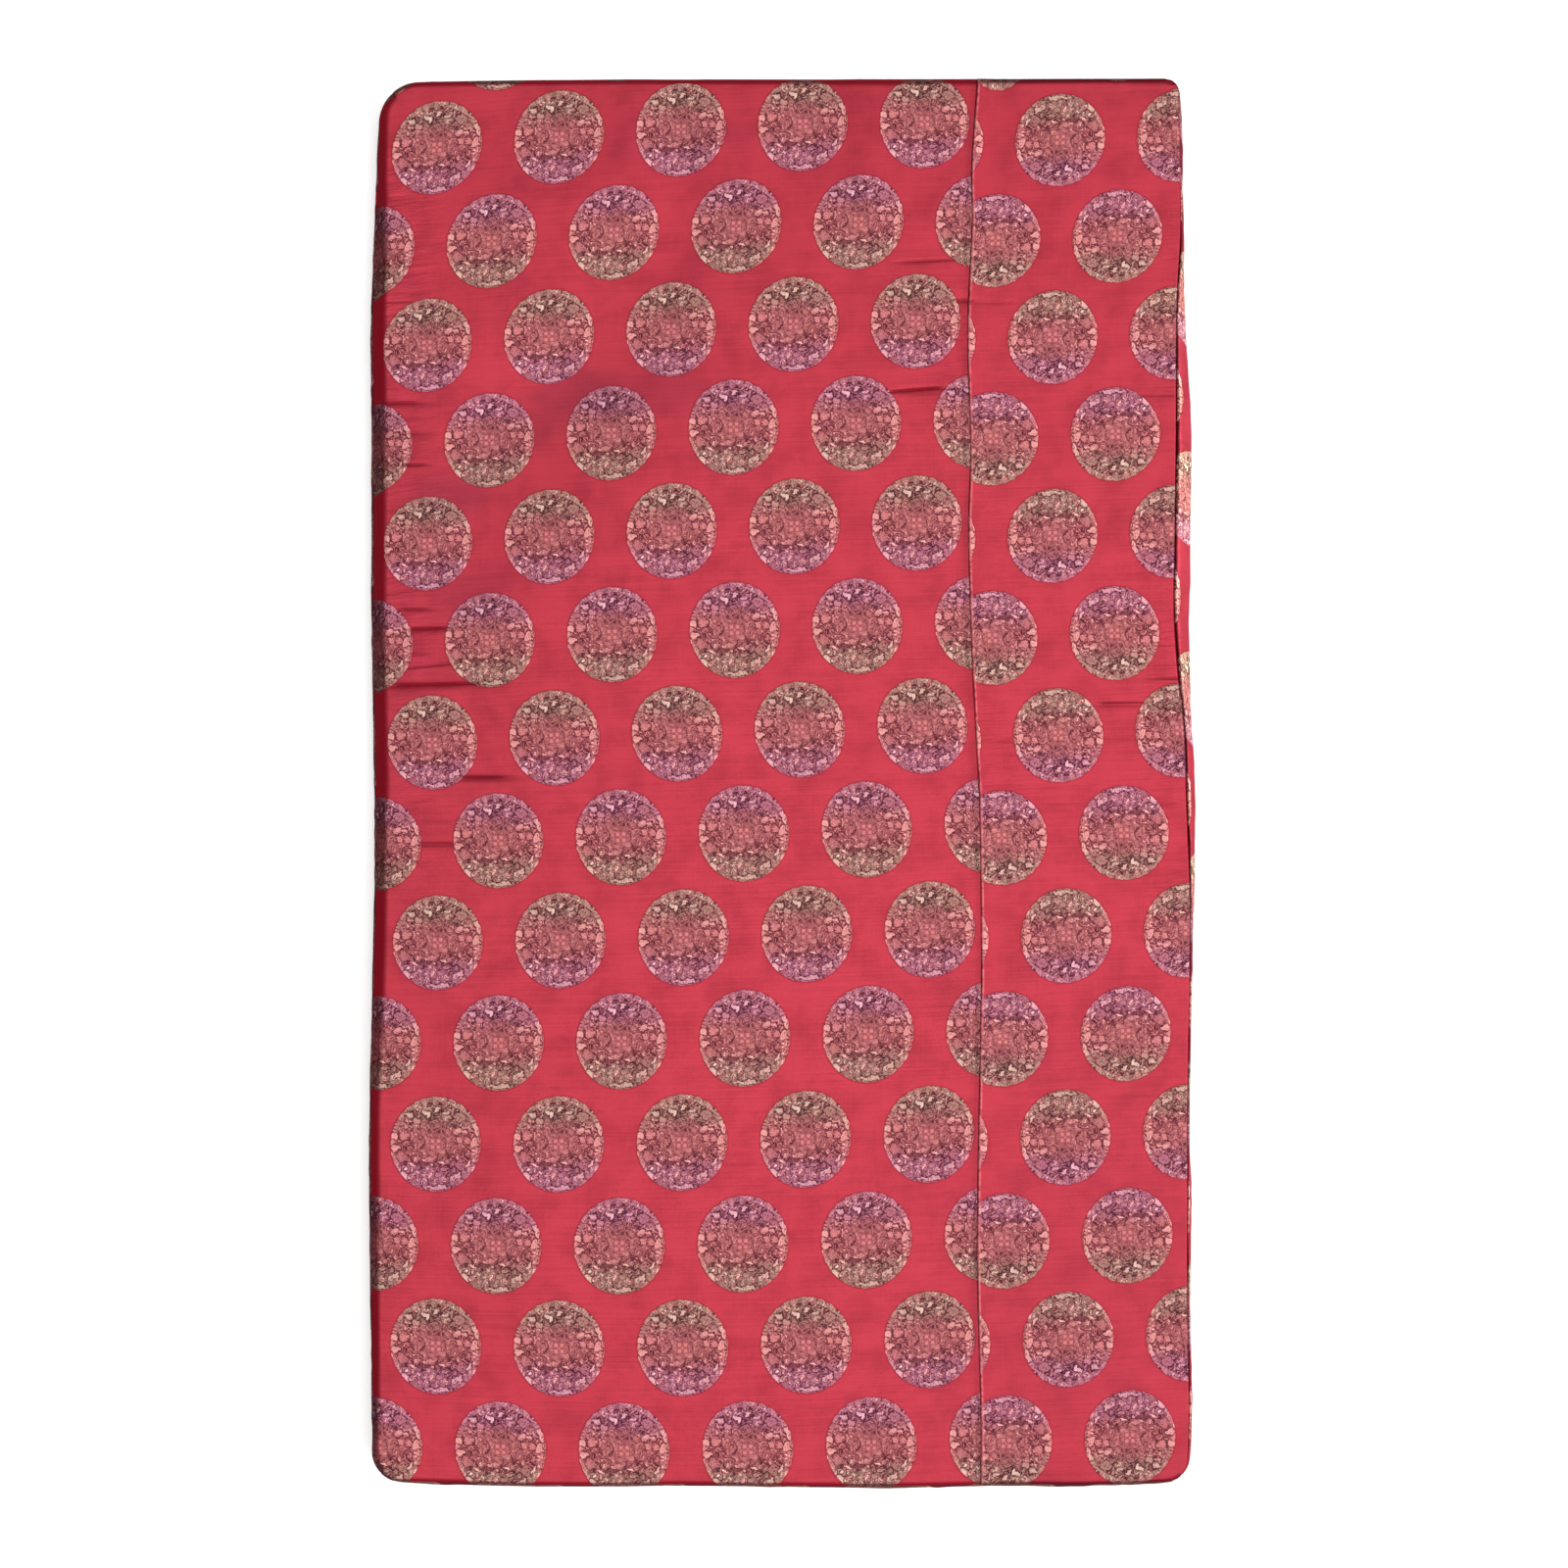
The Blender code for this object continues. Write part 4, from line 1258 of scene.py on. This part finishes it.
def drawnLobes(finish, bent, tone, ink):
    # Each has its own tone and a dark line round it.
    turned = {0: bent}
    for middleX, middleY, halfWidth, halfHeight, angle, shade in lobes:
        cosine, sine = math.cos(math.radians(angle)), math.sin(math.radians(angle))
        if angle not in turned:
            turned[angle] = finish.flat(finish.dot(bent, (cosine, sine, 0.0)),
                                        finish.dot(bent, (-sine, cosine, 0.0)))
        middleX, middleY = middleX + figure["bend"] / 2, middleY + figure["bend"] / 2
        start = (-(middleX * cosine + middleY * sine) / halfWidth,
                 (middleX * sine - middleY * cosine) / halfHeight, 0.0)
        local = finish.vector("MULTIPLY_ADD", turned[angle],
                              (1 / halfWidth, 1 / halfHeight, 0.0), start)
        far = finish.vector("LENGTH", local, output="Value")
        small = min(halfWidth, halfHeight)
        outside = far.ease(1.0 - 0.15 / small, 1.0 + 0.15 / small)
        around = far.ease(1.0 + 0.95 / small, 1.0 + 0.35 / small, 0.50)
        shade = shade * 0.75 + 0.12
        tone = tone.math("MULTIPLY_ADD", tone - shade, outside, shade)
        ink = ink.largest(around) * outside
    return tone, ink


def roundelSatin(name, gloss, shadeTint=satin["steep"], brightness=1.0, mapped=True,
                 figureLight=None):
    finish = Finish(name)
    cloth = finish.ownMap("clothMap")
    column, row = cloth["X"], cloth["Y"]
    acrossStep, alongStep = repeat["across"] * 1000, repeat["along"] * 1000
    across, along = column * acrossStep, row * alongStep   # millimetres

    def grain(kind):
        often, oftenAlong, detail, rough = grains[kind]
        return finish.noise(finish.flat(across * often, along * oftenAlong), 1.0, detail, rough)

    # which roundel, and the place in it
    rowNumber = (row + 0.5).floor()
    shift = (rowNumber % 2.0) * 0.5
    columnNumber = (column - shift + 0.5).floor()
    x = (column - shift - columnNumber) * acrossStep
    y = (rowNumber - row) * alongStep
    stretched = y * (repeat["halfAcross"] / repeat["halfAlong"])
    radius = (x * x + stretched * stretched) ** 0.5 / (repeat["halfAcross"] * 1000)
    turn = finish.add("Math", {"operation": "ARCTAN2"}, (stretched, x))
    place = finish.flat(x, y)
    threads, jag = grain("threads"), grain("jag") - 0.5

    # curly blobs, the same in every roundel, outlined by an uneven dark line
    swirl = finish.noise(place, figure["bendScale"], 2.0, 0.5)["Color"]
    bent = finish.vector("MULTIPLY_ADD", swirl, (figure["bend"], figure["bend"], 0.0), place)
    blob = finish.cells(bent, "F1", figure["blobScale"], figure["blobLoose"], output="Color")
    blobTone = finish.add("SeparateColor", {}, (blob,))
    blobEdge = finish.cells(bent, "DISTANCE_TO_EDGE", figure["blobScale"], figure["blobLoose"])
    uneven = finish.noise(place, figure["unevenScale"], 1.0, 0.5)
    ring = radius.ease(*figure["middle"])
    wave = (finish.noise(bent, figure["waveScale"], 0.0, 0.5) * figure["waves"]) % 1.0
    crest = wave.ease(0.20, 0.36) * wave.ease(0.72, 0.52)
    petals = abs((turn * (figure["petals"] / math.tau)) % 1.0 - 0.5)
    rim = radius.ease(*figure["rim"]) * (uneven * 2.2 - 0.55).smallest(1.0).largest(0.0)
    tone = blobTone["Red"] * 0.32 + crest * 0.24 + 0.30
    middleTone = crest * 0.20 + blobTone["Green"] * 0.24 + 0.29
    tone = middleTone + (tone - middleTone) * ring
    tone = tone + (0.44 + blobTone["Green"] * 0.42 - tone) * rim
    gaps = blob["Distance"].ease(0.42, 0.60)
    worn = (uneven * 2.4 - 0.4).smallest(1.0).largest(0.1)
    ink = blobEdge.ease(0.19, 0.03).largest(gaps) * (1 - rim) * worn * (ring * 0.32 + 0.13)
    eye = abs(blob["Distance"] - 0.22).ease(0.08, 0.03) * blobTone["Blue"].ease(0.40, 0.45)
    ink = ink + eye * (ring * 0.12 + 0.14)
    border = petals.ease(0.38, 0.46).largest(abs(radius - 0.885).ease(0.024, 0.008))
    ink = ink.largest(border * rim * 0.42)
    ink = drawnCurls(finish, bent, ink)
    tone, ink = drawnLobes(finish, bent, tone, ink)
    valley = abs(wave - 0.04).ease(0.22, 0.06)
    ink = ink.largest(valley * (0.38 + ring * 0.10) * (2.0 - uneven * 2.0).smallest(1.0))

    # the small square in the middle, with four light corners and a dot
    corner = figure["cornerPlace"]
    lights = abs(abs(x) - corner).largest(abs(abs(y) - corner)).ease(*figure["squareCorner"])
    dot = ((x * x + y * y) ** 0.5).ease(*figure["squareDot"])
    square = abs(x).largest(abs(y)).ease(*figure["square"])
    squareTone = figure["squareTone"] + lights.largest(dot) * 0.27
    tone = tone + (squareTone - tone) * square
    ink = ink * (1 - square * 0.9)

    # weft colours change every third of a row, with jagged thread ends
    step = (row + jag * 0.22) % 2.0
    mixed = blobTone["Blue"].ease(0.20, 0.30) * 0.45 + 0.55
    mauve = step.ease(0.08, 0.28) * step.ease(0.92, 0.72) * mixed
    olive = step.ease(1.08, 1.28) * step.ease(1.92, 1.72) * mixed
    shade = tone - ink + (threads - 0.5) * 0.18
    weft = {key: finish.add("ValToRGB", {"stops": list(zip(figure["stops"], tones))}, (shade,))
            for key, tones in figureTones.items()}
    woven = finish.mix(mauve, weft["pink"], weft["mauve"])
    woven = finish.mix(olive, woven, weft["olive"])
    woven = finish.mix((1 - ring) * 0.5 * (1 - square), woven, weft["middle"])
    # painted light: the figure lightened, on the bands
    if figureLight:
        woven = finish.mix(1.0, woven, figureLight, "MULTIPLY")

    # satin ground: slubs, soft clouds, and painted shade in the shaded zones
    clouds = finish.noise(finish.flat(across, along), 0.045, 3.0, 0.55)
    streaks, warp = grain("streaks"), grain("warp")
    depth = (clouds - 0.5) * 1.5 + (streaks - 0.5) * 0.7
    depth = depth + (warp - 0.5) * 0.3 + (threads - 0.5) * 0.3
    ground = finish.mix((depth + 0.35).ease(0.0, 1.0), satin["ground"], satin["groundDeep"])
    if mapped:
        dullMap, edgeMap = finish.ownMap("dullMap"), finish.ownMap("edgeMap")
        ground = finish.mix(dullMap["X"], ground, satin["groundShade"])
    ground = finish.mix(radius.ease(1.05, 1.01) * 0.55, ground, satin["halo"])
    edge = radius + jag * figure["jag"] + petals * figure["petalDepth"]
    inRoundel = edge.ease(1.016, 0.998)
    colour = finish.mix(inRoundel, ground, woven)

    # painted shade on steep strips, over the figure in the shaded zones and in closed creases, and
    # a painted highlight on the fold beside the seam
    if mapped:
        colour = finish.mix(dullMap["X"] * inRoundel * 0.7, colour, satin["dullFigure"], "MULTIPLY")
        steep = edgeMap["Y"].ease(0.02, 0.9)
        much = steep * (1 - inRoundel * 0.9) * (streaks * 0.3 + 0.76)
        colour = finish.mix(much, colour, shadeTint)
        colour = finish.mix(steep * inRoundel * 0.85, colour, satin["steepFigure"], "MULTIPLY")
        closed = finish.ownMap("creaseMap")["X"].ease(0.15, 0.80)
        colour = finish.mix(closed * 0.75, colour, satin["crease"])
        pale = grain("pale").ease(0.30, 0.60)
        colour = finish.mix(edgeMap["X"] * (pale * 0.6 + 0.25), colour, satin["fold"])
    # the whole colour scaled: lighter on the bands as painted light, darker on the back panel
    if brightness != 1.0:
        colour = finish.mix(1.0, colour, (brightness, brightness, brightness, 1.0), "MULTIPLY")
    finish.join(colour, finish.shader.inputs["Base Color"])

    # relief: threads, the figure standing proud, and the finest puckers
    knots = finish.noise(finish.flat(across, along), 0.8, 1.0, 0.5)
    relief = inRoundel * (knots + 0.4) * satin["roundelRise"] + grain("weave") * satin["weaveBump"]
    if mapped:
        relief = relief + grain("pleats") * dullMap["Y"] * satin["pleatRise"]
    bump = finish.add("Bump", {}, {"Strength": 1.0, "Distance": 1.0, "Height": relief})
    finish.join(bump, finish.shader.inputs["Normal"])
    finish.join((1 - inRoundel * 0.45) * gloss, finish.shader.inputs["Metallic"])
    rough = satin["roughness"] + inRoundel * 0.14 + (streaks - 0.5) * 0.08
    finish.join(rough, finish.shader.inputs["Roughness"])
    finish.shader.inputs["Specular IOR Level"].default_value = satin["specular"]
    return finish.material


cotton = {
    "pale": tint(190, 26, 50),
    "deep": tint(160, 18, 40),
    "weaveScale": 900.0,
    "weaveBump": 0.0003,
    "roughness": 0.85,
}


def liningCotton(name):
    # Dark red lining under the satin. Only a line of it shows, deep in a seam.
    finish = Finish(name)
    place = finish.add("TexCoord", {}, {}, output="Object")
    grain = finish.add("TexNoise", {}, {"Vector": place, "Scale": cotton["weaveScale"],
                                        "Detail": 2.0})
    colour = finish.mix(grain, cotton["pale"], cotton["deep"])
    finish.join(colour, finish.shader.inputs["Base Color"])
    bump = finish.add("Bump", {}, {"Strength": 0.4, "Distance": cotton["weaveBump"],
                                   "Height": grain})
    finish.join(bump, finish.shader.inputs["Normal"])
    finish.shader.inputs["Roughness"].default_value = cotton["roughness"]
    return finish.material


faceSatin = roundelSatin("faceSatin", satin["gloss"])
# the narrow panel takes its own painted shade on steep strips
narrowSatin = roundelSatin("narrowSatin", satin["gloss"], satin["rim"])
bandSatin = roundelSatin("bandSatin", satin["bandGloss"], satin["groove"], satin["bandBrightness"],
                         figureLight=satin["bandFigure"])
backSatin = roundelSatin("backSatin", satin["bandGloss"], brightness=satin["backBrightness"],
                         mapped=False)
lining = liningCotton("liningCotton")

faceWide.data.materials.append(faceSatin)
faceNarrow.data.materials.append(narrowSatin)
backPanel.data.materials.append(backSatin)
filledBody.data.materials.append(lining)
for piece, _ in bands.values():
    piece.data.materials.append(bandSatin)
print("stage 4: materials made")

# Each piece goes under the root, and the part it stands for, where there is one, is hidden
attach(filledBody, "root")
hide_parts("cushion_body")

sheets = [
    (faceWide, "face_wide", "face_satin", (0.386, 0.898)),
    (faceNarrow, "face_narrow", "face_satin", (0.134, 0.898)),
    (bands["left"][0], "band_left", "band_satin", (0.037, round(bands["left"][1], 3))),
    (bands["right"][0], "band_right", "band_satin", (0.047, round(bands["right"][1], 3))),
    (bands["head"][0], "band_head", "band_satin", (0.041, round(bands["head"][1], 3))),
    (bands["foot"][0], "band_foot", "band_satin", (0.044, round(bands["foot"][1], 3))),
    (backPanel, None, "back_satin", (0.520, 0.894)),
]
for piece, node, slotName, flat in sheets:
    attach(piece, "root")
    if node:
        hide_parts(node)

# Camera, floor and light
view = {
    "aim": (0.0016, -0.0038, 0.053),
    "distance": 1.75,
    "tilt": 1.9,
    "lens": 63.51,
    "sensor": 36.0,
}
camera = bpy.data.cameras.new("camera")
camera.lens, camera.sensor_width = view["lens"], view["sensor"]
cameraObject = addObject("camera", camera)
tilt, aim = math.radians(view["tilt"]), view["aim"]
cameraObject.location = (aim[0], aim[1] - view["distance"] * math.sin(tilt),
                         aim[2] + view["distance"] * math.cos(tilt))
cameraObject.rotation_euler = (tilt, 0, 0)
bpy.context.scene.camera = cameraObject

studio = {
    "floorSize": 9.0,
    "floorColour": (0.93, 0.93, 0.925, 1.0),
    "floorGlow": 0.18,     # keeps the shadow on the paper faint
    "floorRoughness": 0.9,
    "worldColour": (1.0, 0.99, 0.98, 1.0),
    "worldLight": 0.13,
    # soft lights far off: direction round from +X, height over the floor, softness, strength
    "overhead": {"round": 300, "rise": 84, "soft": 34, "strength": 2.56},
    "side": {"round": 354, "rise": 13, "soft": 24, "strength": 4.2},
}
shape = bmesh.new()
bmesh.ops.create_grid(shape, x_segments=4, y_segments=4, size=studio["floorSize"] / 2)
mesh = bpy.data.meshes.new("studioFloor")
shape.to_mesh(mesh)
shape.free()
floor = addObject("studioFloor", mesh)
paint = Finish("studioPaper")
paint.shader.inputs["Base Color"].default_value = studio["floorColour"]
paint.shader.inputs["Roughness"].default_value = studio["floorRoughness"]
paint.shader.inputs["Emission Color"].default_value = studio["floorColour"]
paint.shader.inputs["Emission Strength"].default_value = studio["floorGlow"]
floor.data.materials.append(paint.material)
floor.visible_diffuse = floor.visible_glossy = False   # it throws no light up at the sides

world = bpy.data.worlds.new("studio")
world.use_nodes = True
world.node_tree.nodes["Background"].inputs["Color"].default_value = studio["worldColour"]
world.node_tree.nodes["Background"].inputs["Strength"].default_value = studio["worldLight"]
bpy.context.scene.world = world

for name in ("overhead", "side"):
    lamp, light = bpy.data.lights.new(name, "SUN"), studio[name]
    lamp.energy, lamp.angle = light["strength"], math.radians(light["soft"])
    lampObject = addObject(name, lamp)
    lampObject.location = (0, 0, 2)
    lampObject.rotation_euler = (0, math.radians(90 - light["rise"]), math.radians(light["round"]))

bpy.context.scene.view_settings.view_transform = "Standard"
print("stage 5: camera and light set")
